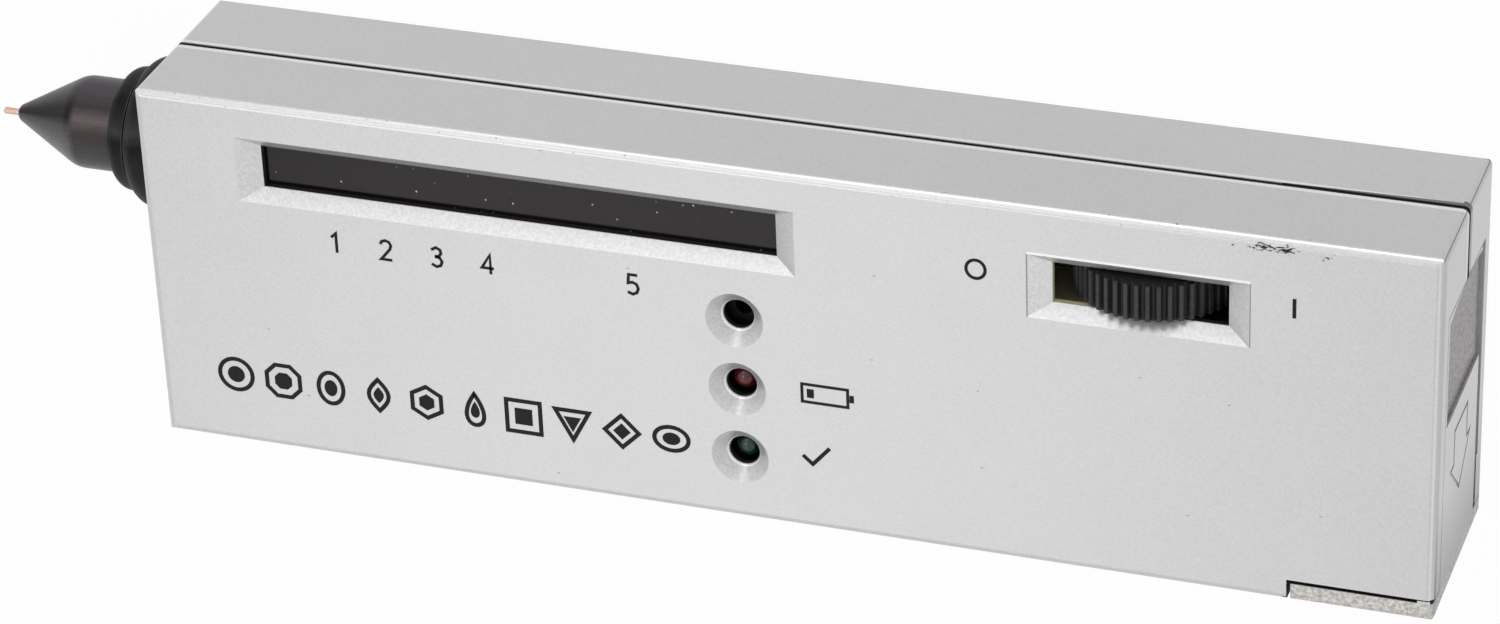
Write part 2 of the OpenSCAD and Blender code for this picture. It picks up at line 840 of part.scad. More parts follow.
// The main board, and a small board of its own for the control beside the wheel
module circuit_board() {
    low = bottom_in + board_side;
    high = top_in - board_side;
    arm_low = bay_wall_y + bay_wall_t + board_side;
    arm_left = boss_top_x + boss_d / 2 + board_side / 2;
    wheel_left = axis[0] - wheel_d / 2 - board_side;
    color(green)
        translate([0, 0, board_top - board_t])
            linear_extrude(board_t)
                difference() {
                    union() {
                        translate([board_left, low])
                            square([min(board_right, boss_top_x) - board_left, high - low]);
                        translate([arm_left, arm_low])
                            square([wheel_left - arm_left, high - arm_low]);
                        translate([wheel_left - cut, wheel_top + pot_gap])
                            square([wheel_d + 2 * board_side + cut, high - wheel_top - pot_gap]);
                    }
                    for (at = case_screw_at)
                        translate(at)
                            square(boss_d + board_side, center = true);
                    for (at = post_at)
                        translate(at)
                            circle(d = board_screw_d + 2 * slip_gap);
                }
}

// Chip in a two-row case with the given number of legs, standing on the board
module chip(x, legs) {
    size = [legs / 2 * chip_pitch, chip_body[0], chip_body[1]];
    translate([board_left + x, chip_y, board_top]) {
        translate([-size[0] / 2, -size[1] / 2, chip_lift])
            cube(size);
        for (i = [0:legs / 2 - 1])
            translate([(i - (legs / 2 - 1) / 2) * chip_pitch, 0, 0]) {
                for (side = [-1, 1])
                    translate([-leg_t / 2, (side * chip_row - leg_t) / 2, 0])
                        cube([leg_t, leg_t, chip_body[1] / 2 + chip_lift]);
                translate([-leg_w / 2, -chip_row / 2, chip_body[1] / 2])
                    cube([leg_w, chip_row, leg_t]);
            }
    }
}

module driver_chip() {
    color(black)
        chip(driver_x, 18);
}

module amplifier_chip() {
    color(black)
        chip(amplifier_x, 8);
}

module capacitors() {
    color([0.15, 0.18, 0.32])
        for (at = [[0, edge_y], [capacitor_pitch, edge_y], [0, row_y]])
            translate([board_left + capacitor_x + at[0], at[1], board_top])
                cylinder(d = capacitor_d, h = capacitor_h);
}

module trimmers() {
    color([0.20, 0.35, 0.60])
        for (at = [[trimmer_edge_x, edge_y], [trimmer_row_x, row_y]])
            translate([board_left + at[0], at[1], board_top])
                difference() {
                    translate([-trimmer_w / 2, -trimmer_w / 2, 0])
                        cube([trimmer_w, trimmer_w, trimmer_h]);
                    translate([-trimmer_w / 4, -trimmer_slot_w / 2, trimmer_h - trimmer_slot_w])
                        cube([trimmer_w / 2, trimmer_slot_w, trimmer_slot_w + cut]);
                }
}

module resistors() {
    r = resistor_d / 2;
    first = [board_left + resistor_x, chip_y - resistor_drop, board_top + r];
    color([0.76, 0.66, 0.50])
        for (i = [0:4])
            translate(first + [i * resistor_pitch, 0, 0]) {
                rotate([90, 0, 0])
                    cylinder(r = r, h = resistor_l);
                for (y = [0, -resistor_l - resistor_leg])
                    translate([-resistor_leg / 2, y, -r])
                        cube([resistor_leg, resistor_leg, r]);
            }
}

// Half section of a turned step with a rounded front edge
module round_step(r, from, to, round) {
    translate([0, from])
        square([r, to - from - round]);
    translate([0, from])
        square([r - round, to - from]);
    intersection() {
        translate([r - round, to - round])
            circle(round);
        translate([0, from])
            square([r, to - from]);
    }
}

module probe_base() {
    color(black)
        on_probe()
            rotate_extrude()
                difference() {
                    union() {
                        round_step(base_d / 2, 0, base_l, base_round);
                        translate([0, -wall - flange_t])
                            square([neck_d / 2, wall + flange_t + cut]);
                        translate([0, -wall - flange_t])
                            square([flange_d / 2, flange_t]);
                    }
                    translate([-cut, -case_l / 2])
                        square([shank_d / 2 + run_gap + cut, case_l]);
                }
}

module probe_collar() {
    color(black)
        on_probe()
            rotate_extrude()
                difference() {
                    round_step(collar_d / 2, collar_from, collar_to, probe_round);
                    translate([-cut, 0])
                        square([nose_d / 2 - collar_step + run_gap + cut, case_l]);
                }
}

module probe_nose() {
    r = nose_d / 2;
    end_r = cone_end_d / 2;
    color(dark)
        on_probe()
            rotate_extrude()
                polygon([
                    [shank_d / 2, -shank_in], [shank_d / 2, collar_from], [r - collar_step, collar_from],
                    [r - collar_step, collar_to], [r, collar_to],
                    for (p = nose_shoulder(r, end_r)) p,
                    [end_r, cone_to - cone_edge], [end_r - cone_edge, cone_to],
                    [tip_d / 2 + run_gap, cone_to], [tip_d / 2 + run_gap, sleeve_to],
                    [sleeve_d / 2 + run_gap, sleeve_to], [sleeve_d / 2 + run_gap, -shank_in]
                ]);
}

// Rounding between the straight nose and its cone, as points on an arc
function nose_shoulder(r, end_r) =
    let (
        slope = atan2(r - end_r, cone_l),
        round = 2 * probe_round,
        back = round * tan(slope / 2)
    )
    [for (i = [0:6]) let (a = slope * i / 6)
        [r - round + round * cos(a), cone_from - back + round * sin(a)]];

module probe_tip() {
    color(copper)
        on_probe()
            rotate_extrude()
                polygon([
                    [0, sleeve_to - tip_in], [tip_d / 2, sleeve_to - tip_in],
                    [tip_d / 2, cone_to + tip_l - tip_d / 4], [tip_d / 4, cone_to + tip_l],
                    [0, cone_to + tip_l]
                ]);
}

module probe_sleeve() {
    color(steel)
        on_probe()
            translate([0, 0, sleeve_from])
                difference() {
                    cylinder(d = sleeve_d, h = sleeve_l - run_gap);
                    translate([0, 0, sleeve_l - tip_in])
                        cylinder(d = tip_d, h = tip_in);
                }
}

module probe_plug() {
    color(black)
        on_probe()
            translate([0, 0, -shank_in])
                cylinder(d = sleeve_d, h = plug_l);
}

// Closed tube of radius r along a path, round in section
module tube(path, r, guide, sides = 8) {
    last = len(path) - 1;
    points = [
        for (k = [0:last])
            let (t = path[min(k + 1, last)] - path[max(k - 1, 0)], u = cross(t, guide), v = cross(t, u))
            for (i = [0:sides - 1])
                path[k] + r * (cos(360 * i / sides) * u / norm(u) + sin(360 * i / sides) * v / norm(v))
    ];
    ring = [for (i = [0:sides - 1]) i];
    faces = [
        ring,
        for (k = [0:last - 1], i = ring)
            let (a = k * sides + i, b = k * sides + (i + 1) % sides)
            each [[a, a + sides, b + sides], [a, b + sides, b]],
        [for (i = [sides - 1:-1:0]) last * sides + i]
    ];
    polyhedron(points, faces);
}

// Smooth path through a few points, with the given number of steps between two of them
function smooth(p, steps = 4) = [
    for (k = [0:len(p) - 2], s = [0:steps - 1])
        let (
            a = p[max(k - 1, 0)], b = p[k], c = p[k + 1], d = p[min(k + 2, len(p) - 1)], t = s / steps
        )
        b + t / 2 * (c - a + t * (2 * a - 5 * b + 4 * c - d + t * (3 * b - a - 3 * c + d))),
    p[len(p) - 1]
];

// Points of a lead: steps along and across from a start, each at its own height
function route(from, steps, heights) = [
    for (i = [0:len(steps) - 1]) [from[0] + steps[i][0], from[1] + steps[i][1], from[2] + heights[i]]
];

module probe_spring() {
    low = plug_out + spring_wire / 2 + slip_gap;
    high = sleeve_from - spring_wire / 2 - slip_gap;
    rings = 8 * spring_curls;
    r = sleeve_d / 2 - spring_room - spring_wire / 2;
    path = [
        for (k = [0:rings])
            let (a = 360 * spring_curls * k / rings)
            [r * cos(a), r * sin(a), low + (high - low) * k / rings]
    ];
    color(steel)
        on_probe()
            tube(path, spring_wire / 2, [0, 0, 1], 6);
}

module probe_leads() {
    color([0.75, 0.72, 0.70])
        for (steps = probe_steps)
            tube(smooth(route(probe_lead_from, steps, probe_rise)), probe_lead_d / 2, [0, 1, 0]);
}

module battery() {
    color([0.20, 0.20, 0.22])
        translate(battery_at + [0, battery_w / 2, battery_t / 2])
            rotate([90, 0, 90])
                linear_extrude(battery_l)
                    round_rect([battery_w, battery_t], battery_round);
}

// The two contacts of the battery: a stud and a socket
module battery_studs() {
    color(steel)
        translate([battery_at[0], stud_mid, case_d / 2])
            rotate([0, -90, 0]) {
                translate([0, -stud_pitch / 2, 0])
                    cylinder(d = stud_d, h = stud_l);
                translate([0, stud_pitch / 2, 0])
                    difference() {
                        cylinder(d = socket_d, h = stud_l);
                        translate([0, 0, socket_floor])
                            cylinder(d = stud_d + 2 * slip_gap, h = stud_l);
                    }
            }
}

// Clip that presses on the two contacts: a socket over the stud, and a stud in the socket
module battery_clip() {
    color(black)
        translate([clip_left, stud_mid, case_d / 2])
            rotate([0, 90, 0])
                difference() {
                    union() {
                        translate([-clip_h / 2, -battery_w / 2, 0])
                            cube([clip_h, battery_w, clip_t]);
                        translate([0, -stud_pitch / 2, 0])
                            cylinder(d = stud_d + 2 * clip_rim, h = clip_right - clip_left);
                        translate([0, stud_pitch / 2, 0])
                            cylinder(d = stud_d, h = clip_right - clip_left);
                    }
                    translate([0, -stud_pitch / 2, battery_at[0] - stud_l - clip_left - slip_gap])
                        cylinder(d = stud_d + 2 * slip_gap, h = case_d);
                }
}

// Lead from the clip to the circuit board
module battery_lead(y) {
    tube(smooth(route([clip_left, y, board_top], clip_steps, clip_rise)), battery_lead_d / 2, [0, 1, 0]);
}

module red_lead() {
    color([0.70, 0.12, 0.10])
        battery_lead(red_lead_y);
}

module black_lead() {
    color(black)
        battery_lead(black_lead_y);
}

// Screw with a slotted round head, standing on its head
module screw(head, d, l) {
    difference() {
        union() {
            cylinder(d = head[0], h = head[1]);
            cylinder(d = d, h = head[1] + l);
        }
        translate([-head[0], -screw_slot / 2, -cut])
            cube([2 * head[0], screw_slot, cut + head[1] / 3]);
    }
}

module case_screws() {
    color(steel)
        for (at = case_screw_at)
            translate([at[0], at[1], head_drop - screw_head[1]])
                screw(screw_head, screw_d, screw_l);
}

module board_screws() {
    color(steel)
        for (at = post_at)
            translate([at[0], at[1], board_top - board_t - board_head[1]])
                screw(board_head, board_screw_d, board_screw_l + board_t - 2 * run_gap);
}

front_shell();
rear_shell();
battery_door();
window_lens();
lamp_holder();
green_lamps();
yellow_lamps();
red_lamps();
low_battery_lamp();
ready_lamp();
lamp_spacers();
buzzer();
thumbwheel();
wheel_screw();
pot_shaft();
pot_body();
circuit_board();
driver_chip();
amplifier_chip();
capacitors();
trimmers();
resistors();
probe_base();
probe_collar();
probe_nose();
probe_tip();
probe_sleeve();
probe_spring();
probe_plug();
probe_leads();
battery();
battery_studs();
battery_clip();
red_lead();
black_lead();
case_screws();
board_screws();
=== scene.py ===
# %% [markdown]
# # Dressing a hand-held gem tester
#
# The solids of this tester come ready made and in place: two case shells, a window, lamps, a
# thumbwheel, a probe and a battery door. This lesson gives each of them the surface that its real
# material has, adds the printed marks, and sets up the light and the camera.

# %% Load the frame
import math

import bmesh
import bpy
from mathutils import Matrix, Vector


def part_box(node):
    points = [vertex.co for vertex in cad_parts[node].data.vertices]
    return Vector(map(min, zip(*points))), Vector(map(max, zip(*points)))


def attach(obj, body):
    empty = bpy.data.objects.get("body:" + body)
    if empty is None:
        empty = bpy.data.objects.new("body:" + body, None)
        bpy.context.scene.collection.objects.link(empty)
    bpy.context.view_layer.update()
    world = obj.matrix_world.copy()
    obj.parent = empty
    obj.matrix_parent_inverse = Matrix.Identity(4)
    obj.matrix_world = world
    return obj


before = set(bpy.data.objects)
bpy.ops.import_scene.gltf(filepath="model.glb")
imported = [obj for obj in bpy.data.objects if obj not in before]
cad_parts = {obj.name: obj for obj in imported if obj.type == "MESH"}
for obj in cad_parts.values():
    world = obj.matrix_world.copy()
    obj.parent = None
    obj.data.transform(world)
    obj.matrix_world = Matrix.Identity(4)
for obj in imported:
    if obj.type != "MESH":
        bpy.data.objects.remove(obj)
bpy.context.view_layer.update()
MM = 0.001

# %% [markdown]
# ## Sizes that the looks need
#
# The paint's limits are mostly measured from the solids themselves, so they stay where the case is.
# Sizes that can't be read from a box, such as the width of the seam, and the places of the knocks and
# of the printed marks, are written down in mm where they are needed.

# %% Corners of the case, in mm
shell_low, shell_high = [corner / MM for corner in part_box("front_shell")]
door_low, door_high = [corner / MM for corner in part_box("battery_door")]
LEFT, RIGHT = shell_low.x, shell_high.x
TOP, BOTTOM, FACE = shell_high.y, door_low.y, shell_high.z
DOOR_TOP = door_high.y

print("case", round(RIGHT - LEFT, 2), "x", round(TOP - BOTTOM, 2), "x", round(FACE, 2), "mm")

# %% [markdown]
# ## A small kit for shaders
#
# A shader is a graph of nodes. A few helpers keep the graphs readable: one turns a hex colour, as a
# paint shop would quote it, into the linear values that a renderer works in, and one adds a node
# with its settings and links in a single line.
#
# The others are about masks. A mask is 1 in the places where a finish applies and 0 elsewhere. The
# case is a plain box, so most places on it are boxes too, and a test of the position finds them.

# %% Colours and nodes
def linear(code):
    """Hex sRGB colour as a linear colour with alpha."""
    parts = [int(code[i:i + 2], 16) / 255 for i in (1, 3, 5)]
    return (*[c / 12.92 if c <= 0.04045 else ((c + 0.055) / 1.055) ** 2.4 for c in parts], 1.0)


def fill(socket, value):
    """Links an output to a socket, or sets the socket to a plain value."""
    if isinstance(value, bpy.types.NodeSocket):
        socket.id_data.links.new(value, socket)
    else:
        socket.default_value = value


def feed(node, **values):
    """Fills sockets of a node, which are named with _ for a space."""
    for name, value in values.items():
        fill(node.inputs[name.replace("_", " ")], value)


def add(tree, kind, *values, out=0, stops=(), **named):
    """Adds a node and gives one of its outputs, by number or name, or the node where out is None.

    The values fill its open sockets in order. Names with a capital are sockets too, and the others
    are settings of the node. Stops are the positions and hex colours of a colour ramp."""
    node = tree.nodes.new("ShaderNode" + kind)
    for name, value in named.items():
        if name[0].islower():
            setattr(node, name, value)
    for socket, value in zip([s for s in node.inputs if s.enabled], values):
        fill(socket, value)
    feed(node, **{name: value for name, value in named.items() if name[0].isupper()})
    for number, (position, code) in enumerate(stops):
        steps = node.color_ramp.elements
        step = steps[number] if number < len(steps) else steps.new(position)
        step.position, step.color = position, linear(code)
    if out is None:
        return node
    return node.outputs[out] if isinstance(out, str) else [o for o in node.outputs if o.enabled][out]


def new_material(name):
    """A material with an empty graph, and its shader joined to the output."""
    made = bpy.data.materials.new(name)
    made.use_nodes = True
    tree = made.node_tree
    tree.nodes.clear()
    shader = add(tree, "BsdfPrincipled", out=None)
    add(tree, "OutputMaterial", Surface=shader.outputs[0], out=None)
    return made, tree, shader


def dress(material, *names):
    """Gives a material to CAD nodes by assigning it to their slots."""
    for name in names:
        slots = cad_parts[name].data.materials
        slots.clear()
        slots.append(material)
    print(material.name, "on", ", ".join(names))


print("node helpers ready")

# %% Places and masks
def place(tree):
    """Position of the shaded point in the piece's own frame, in metres, whole and in three parts."""
    point = add(tree, "TexCoord", out="Object")
    return point, add(tree, "SeparateXYZ", point, out=None).outputs


def per_mm(size_mm):
    """Texture scale at which one cell of a pattern measures size_mm."""
    return 1 / (size_mm * MM)


def all_of(tree, first, *others):
    """1 where all masks are 1."""
    for other in others:
        first = add(tree, "Math", first, other, operation="MULTIPLY")
    return first


def any_of(tree, first, *others):
    """1 where any of the masks is 1."""
    for other in others:
        first = add(tree, "Math", first, other, operation="MAXIMUM")
    return first


def within(tree, parts, **limits):
    """1 where the point lies between the limits, pairs in mm along x, y or z."""
    tests = []
    for axis, (low, high) in limits.items():
        middle, half = (low + high) / 2 * MM, (high - low) / 2 * MM
        tests.append(add(tree, "Math", parts["xyz".index(axis)], middle, half, operation="COMPARE"))
    return all_of(tree, *tests)


def from_axis(tree, point, centre, plane):
    """Distance of the point from an axis. The plane is 0 along the axis, and its other two numbers,
    1 each for a round distance, stretch it."""
    off = add(tree, "VectorMath", point, centre, operation="SUBTRACT")
    flat = add(tree, "VectorMath", off, plane, operation="MULTIPLY")
    return add(tree, "VectorMath", flat, operation="LENGTH")


print("mask helpers ready")

# %% [markdown]
# ## Silver lacquer on moulded ABS: where the spray didn't reach
#
# The case is dark ABS with a sprayed coat of silver lacquer. A sprayed and used coat isn't even, so
# the next cells make one mask for each cause before the coat itself is mixed. The alternative, one
# painted picture for the whole case, would have to be redrawn whenever the case changes.
#
# Spray doesn't reach into gaps: the inside of the case, the seam, and the walls round the door and
# its foot stay bare and dark. A narrow band on the front shell's lip beside the seam is dark too:
# painted shade that widens the seam's line.

# %% Bare places
SEAM, SEAM_GAP = 11.1, 0.5
FOOT_LENGTH, FOOT_THICK, FOOT_GAP = 15.5, 2.2, 0.45
REAR_RIM, DOOR_FRONT, DOOR_DEEP = 2.2, 20.05, 3
NICK = 0.7          # notch where the seam meets the door
BEVEL_DEPTH = 1.5
WALL, LOWER_WALL, BACK_WALL = 2, 2.6, 1
SKIN = 0.12         # how far spray gets round an edge
CLEAR = 0.1         # reach past a face, so that the face itself counts
SLIP = 0.05         # reach past the walls of a gap
TOUCH = 0.02        # a hair's breadth
BEVEL_FOOT = FACE - BEVEL_DEPTH - CLEAR
INSIDE = {"x": (LEFT + WALL, RIGHT - WALL), "y": (BOTTOM + LOWER_WALL, TOP - WALL)}


def bare_places(tree, parts):
    """1 inside the case, in the seam and the gaps round the door, and in painted shade by the seam."""
    seam = (SEAM - 0.7 * SEAM_GAP, SEAM + 0.7 * SEAM_GAP)
    nick = (SEAM - 0.6 * NICK, SEAM + 0.6 * NICK)
    foot_left, foot_top = RIGHT - FOOT_LENGTH, BOTTOM + FOOT_THICK
    behind_door = {"x": (RIGHT - DOOR_DEEP, RIGHT - SKIN)}
    through = {"z": (SKIN, FACE - SKIN)}
    boxes = [
        dict(INSIDE, z=(BACK_WALL, BEVEL_FOOT)),
        dict(x=(LEFT + SKIN, RIGHT - DOOR_DEEP), y=(BOTTOM + SKIN, TOP - SKIN), z=seam),
        dict(behind_door, y=(DOOR_TOP, TOP - SKIN), z=seam),
        # A band on the front shell's lip beside the seam: painted shade that widens the seam's dark line
        dict(y=(DOOR_TOP, TOP + SKIN), z=(SEAM, SEAM + 0.9 * SEAM_GAP)),
        dict(through, x=(foot_left - 2 * FOOT_GAP, RIGHT - SKIN),
             y=(foot_top - TOUCH, foot_top + FOOT_GAP + SLIP)),
        dict(through, x=(foot_left - 2 * FOOT_GAP, foot_left + TOUCH),
             y=(BOTTOM - SKIN, foot_top + FOOT_GAP)),
        dict(x=(RIGHT - 1, RIGHT + SKIN), y=(DOOR_TOP - SLIP, DOOR_TOP + NICK + SLIP), z=nick),
        dict(behind_door, y=(DOOR_TOP - TOUCH, DOOR_TOP + 0.2), z=(REAR_RIM, DOOR_FRONT)),
    ]
    return any_of(tree, *[within(tree, parts, **box) for box in boxes])


print("bare places: seam at", SEAM, "mm, inside", INSIDE)

# %% [markdown]
# ## Chips and small marks
#
# Lacquer breaks off in flecks where the case was knocked. A coat is thinner than a hair, so nothing
# has to be cut out of the mesh, and a mask is enough. The flecks lie close together in the middle of
# a knock and get rare further out, so a noise is compared with a level that rises with the distance
# from the knock. The noise is stretched and slants, as the knocks came from one side.
# A cell pattern with a dot in a few of its cells gives the small marks that handling has left.

# %% Chips and marks
KNOCKS = [  # x, y, half length and half width in mm, and the level in the middle
    (54.3, 20.82, 1.2, 0.4, 0.34),
    (56.7, 20.76, 1.2, 0.45, 0.33),
    (61.0, 20.55, 0.6, 0.3, 0.38),
    (51.1, 20.64, 0.25, 0.2, 0.42),
]
KNOCK_DEEP = 0.5
CHIP_MM = 0.6
CHIP_EDGE = 0.08    # from whole coat to bare plastic
RISE = 0.2          # of the level, over the half length or half width of a knock
EDGE_LEVEL, EDGE_WIDE, EDGE_DEEP = 0.7, 1.2, 0.9
MARK_MM = 11
MARK_SIZE, MARK_CHANCE = 0.016, 0.84


def slanting(tree, point):
    """The point in a turned and squeezed frame, in which a pattern slants and stretches."""
    return add(tree, "Mapping", point, Rotation=(0, 0, 0.5), Scale=(1, 2.2, 1))


def chips(tree, point, parts):
    """How far the coat has chipped off, in the knocks and along the upper front edge."""
    noise = add(tree, "TexNoise", slanting(tree, point), Scale=per_mm(CHIP_MM), Detail=3.0, Roughness=0.65)
    edge = within(tree, parts, x=(LEFT, RIGHT), y=(TOP - EDGE_WIDE, TOP), z=(FACE - EDGE_DEEP, FACE + CLEAR))
    face = within(tree, parts, z=(FACE - KNOCK_DEEP, FACE + CLEAR))
    found = [all_of(tree, edge, add(tree, "Math", noise, EDGE_LEVEL, operation="GREATER_THAN"))]
    for x, y, long, wide, level in KNOCKS:
        reach = from_axis(tree, point, (x * MM, y * MM, 0), (per_mm(long), per_mm(wide), 0))
        left = add(tree, "Math", reach, -RISE, noise, operation="MULTIPLY_ADD")
        worn = add(tree, "MapRange", left, From_Min=level, From_Max=level + CHIP_EDGE)
        found.append(all_of(tree, face, worn))
    return any_of(tree, *found)


def marks(tree, point, parts):
    """1 in the few small marks on the face."""
    cells = add(tree, "TexVoronoi", slanting(tree, point), Scale=per_mm(MARK_MM), voronoi_dimensions="2D",
                out=None).outputs
    chance = add(tree, "SeparateColor", cells["Color"])
    dot = add(tree, "Math", cells["Distance"], MARK_SIZE, operation="LESS_THAN")
    rare = add(tree, "Math", chance, MARK_CHANCE, operation="GREATER_THAN")
    return all_of(tree, dot, rare, within(tree, parts, z=(FACE - TOUCH, FACE + CLEAR)))


print(len(KNOCKS), "knocks")

# %% [markdown]
# ## Painted highlights and painted shade on edges
#
# Bright lines are painted along the seam's edges, above the slot and round the holes in the dishes:
# painted highlights, where these edges catch the light. The crests of the upper edges at the back
# and at the battery end are painted darker, and so is a fine line at each end of the slot: painted
# shade. All of these are too thin to model and show by their tone alone, so they are masks as well:
# boxes along the edges, and rings round the holes.

# %% Painted highlights and shade on edges
SLOT = (24.05, 7.6)
slot_middle = sum(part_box("thumbwheel"), Vector()) / 2 / MM
SLOT_X, SLOT_Y = [(centre - size / 2, centre + size / 2) for centre, size in zip(slot_middle, SLOT)]
# Painted highlight lines: width above the slot, and reach behind and in front of the seam, in mm
HIGHLIGHT_BAND, HIGHLIGHT_BACK, HIGHLIGHT_FRONT = 0.3, 1.6 * SEAM_GAP, 2.1 * SEAM_GAP
# The ring of painted highlight round each hole: the hole's radius and the ring's width, in mm
HOLE_R, RIM, RIM_FROM = 1.75, 0.22, 0.9     # a rim starts this far below the face
# Width of the painted shade on the crests of the upper edges, in mm
SHADED_CREST = 0.28
# Fine lines of painted shade at the slot's ends: half their width and their depth, in mm
LINE, LINE_DEEP = 0.07, 0.2


def painted_highlight_lines(tree, parts):
    """1 in the painted highlight lines along the seam's edges and above the slot."""
    seam = within(tree, parts, y=(DOOR_TOP, TOP + CLEAR), z=(SEAM - HIGHLIGHT_BACK, SEAM + HIGHLIGHT_FRONT))
    slot_highlight = within(tree, parts, x=SLOT_X, y=(SLOT_Y[1], SLOT_Y[1] + HIGHLIGHT_BAND), z=(FACE - SLIP, FACE + CLEAR))
    return any_of(tree, seam, slot_highlight)


def painted_rim_highlights(tree, point, parts):
    """1 in painted highlight rings round the holes of the three dishes, which stand a pitch apart."""
    lower, middle = [sum(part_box(lamp), Vector()) / 2 for lamp in ("ready_lamp", "low_battery_lamp")]
    rims = []
    for centre in (lower, middle, 2 * middle - lower):
        radius = from_axis(tree, point, centre, (1, 1, 0))
        rims.append(add(tree, "Math", radius, (HOLE_R + RIM / 2) * MM, RIM / 2 * MM, operation="COMPARE"))
    return all_of(tree, any_of(tree, *rims), within(tree, parts, z=(BEVEL_FOOT, FACE - RIM_FROM)))


def painted_shade_crests(tree, parts):
    """1 on the crests of the upper edges at the back and at the battery end, which get painted shade."""
    crest = (TOP - SHADED_CREST, TOP + CLEAR)
    end = within(tree, parts, x=(RIGHT - SHADED_CREST, RIGHT + CLEAR), y=crest)
    back = within(tree, parts, y=crest, z=(-CLEAR, SHADED_CREST))
    return any_of(tree, end, back)


def painted_shade_slot_ends(tree, parts):
    """1 in the fine lines of painted shade at the two ends of the slot."""
    lines = [within(tree, parts, x=(end - LINE, end + LINE), y=SLOT_Y, z=(FACE - LINE_DEEP, FACE + CLEAR))
             for end in SLOT_X]
    return any_of(tree, *lines)


print("slot from", round(SLOT_X[0], 2), "to", round(SLOT_X[1], 2), "mm")

# %% [markdown]
# ## Painted shade at the battery end
#
# The shells have drawn apart a little towards the battery end. Their solids meet in an even seam,
# so the shade of the gap is painted on the lip of the rear shell, over a width that grows along the
# case, and as a band on the end face beside the seam. Lower down the battery end gets painted shade
# too, full near its foot and none higher up.

# %% Painted shade at the battery end
GAPE_FROM, GAPE_TO = RIGHT - 20, RIGHT - 2
GAPE, GAPE_DEEP = 0.55, 0.3
# Band of painted shade on the end face beside the seam, in mm
END_DEEP, END_BAND = 0.9, (SEAM - 1.2, SEAM - 0.2)
# Painted shade on the battery end fades from full to none between these heights, in mm
SHADE_FULL_AT, SHADE_NONE_AT = BOTTOM + 3, BOTTOM + 14


def seam_gap_painted_shade(tree, parts):
    """1 where the gap's shade is painted: on the rear shell's lip and on the end face by the seam."""
    reach = add(tree, "MapRange", parts[0], From_Min=GAPE_FROM * MM, From_Max=GAPE_TO * MM,
                To_Min=0.0, To_Max=GAPE * MM)
    edge = add(tree, "Math", (SEAM - SEAM_GAP / 2) * MM, reach, operation="SUBTRACT")
    near = within(tree, parts, x=(GAPE_FROM, RIGHT + CLEAR), y=(TOP - GAPE_DEEP, TOP + CLEAR),
                  z=(SEAM - 1, SEAM))
    upper = all_of(tree, near, add(tree, "Math", parts[2], edge, operation="GREATER_THAN"))
    end = within(tree, parts, x=(RIGHT - END_DEEP, RIGHT + CLEAR), y=(DOOR_TOP, TOP + CLEAR), z=END_BAND)
    return any_of(tree, upper, end)


def low_end_painted_shade(tree, parts):
    """How much painted shade the battery end gets: full near its foot and none higher up."""
    low = add(tree, "MapRange", parts[1], From_Min=SHADE_FULL_AT * MM, From_Max=SHADE_NONE_AT * MM,
              To_Min=1.0, To_Max=0.0)
    return all_of(tree, low, within(tree, parts, x=(RIGHT - CLEAR, RIGHT + CLEAR)))


print("seam gapes over", GAPE_TO - GAPE_FROM, "mm")

# %% [markdown]
# ## Mixing the coat
#
# Aluminium flakes in the lacquer lie nearly flat, so the coat is part mirror and part chalk: it is
# brighter where it faces the light, and each flake is a touch lighter or darker than the next. A
# cell pattern gives the flakes, a wide noise the clouds of an uneven spray, and a fine one its slight
# orange peel. In the bevels the coat is thicker and dries with a grain. The masks then lay their
# tones over it one by one, as a painter would, so that each can be changed alone. Bare plastic comes
# last: dark, matt, and without the clear film.

# %% Silver coat
FLAKE_MM = 0.16     # real flakes are 0.02 to 0.05 mm; drawn coarser so that they show
PEEL_MM, PEEL_DEEP = 0.8, 0.01
CLOUD_MM, CLOUD_MOST, CLOUD_SOFT = 11, 0.9, 0.2
GRAIN_MM = 0.32
SUNK_FROM = 0.06    # below the face
METAL, FILM = 0.4, 0.3
MATT = 0.5          # bare plastic is this much rougher than the coat
LIT_BEHIND_SLOT = {"x": (24, 37), "y": (6, 19)}     # inner wall beside the wheel: olive, painted much paler as painted light that falls in through the slot
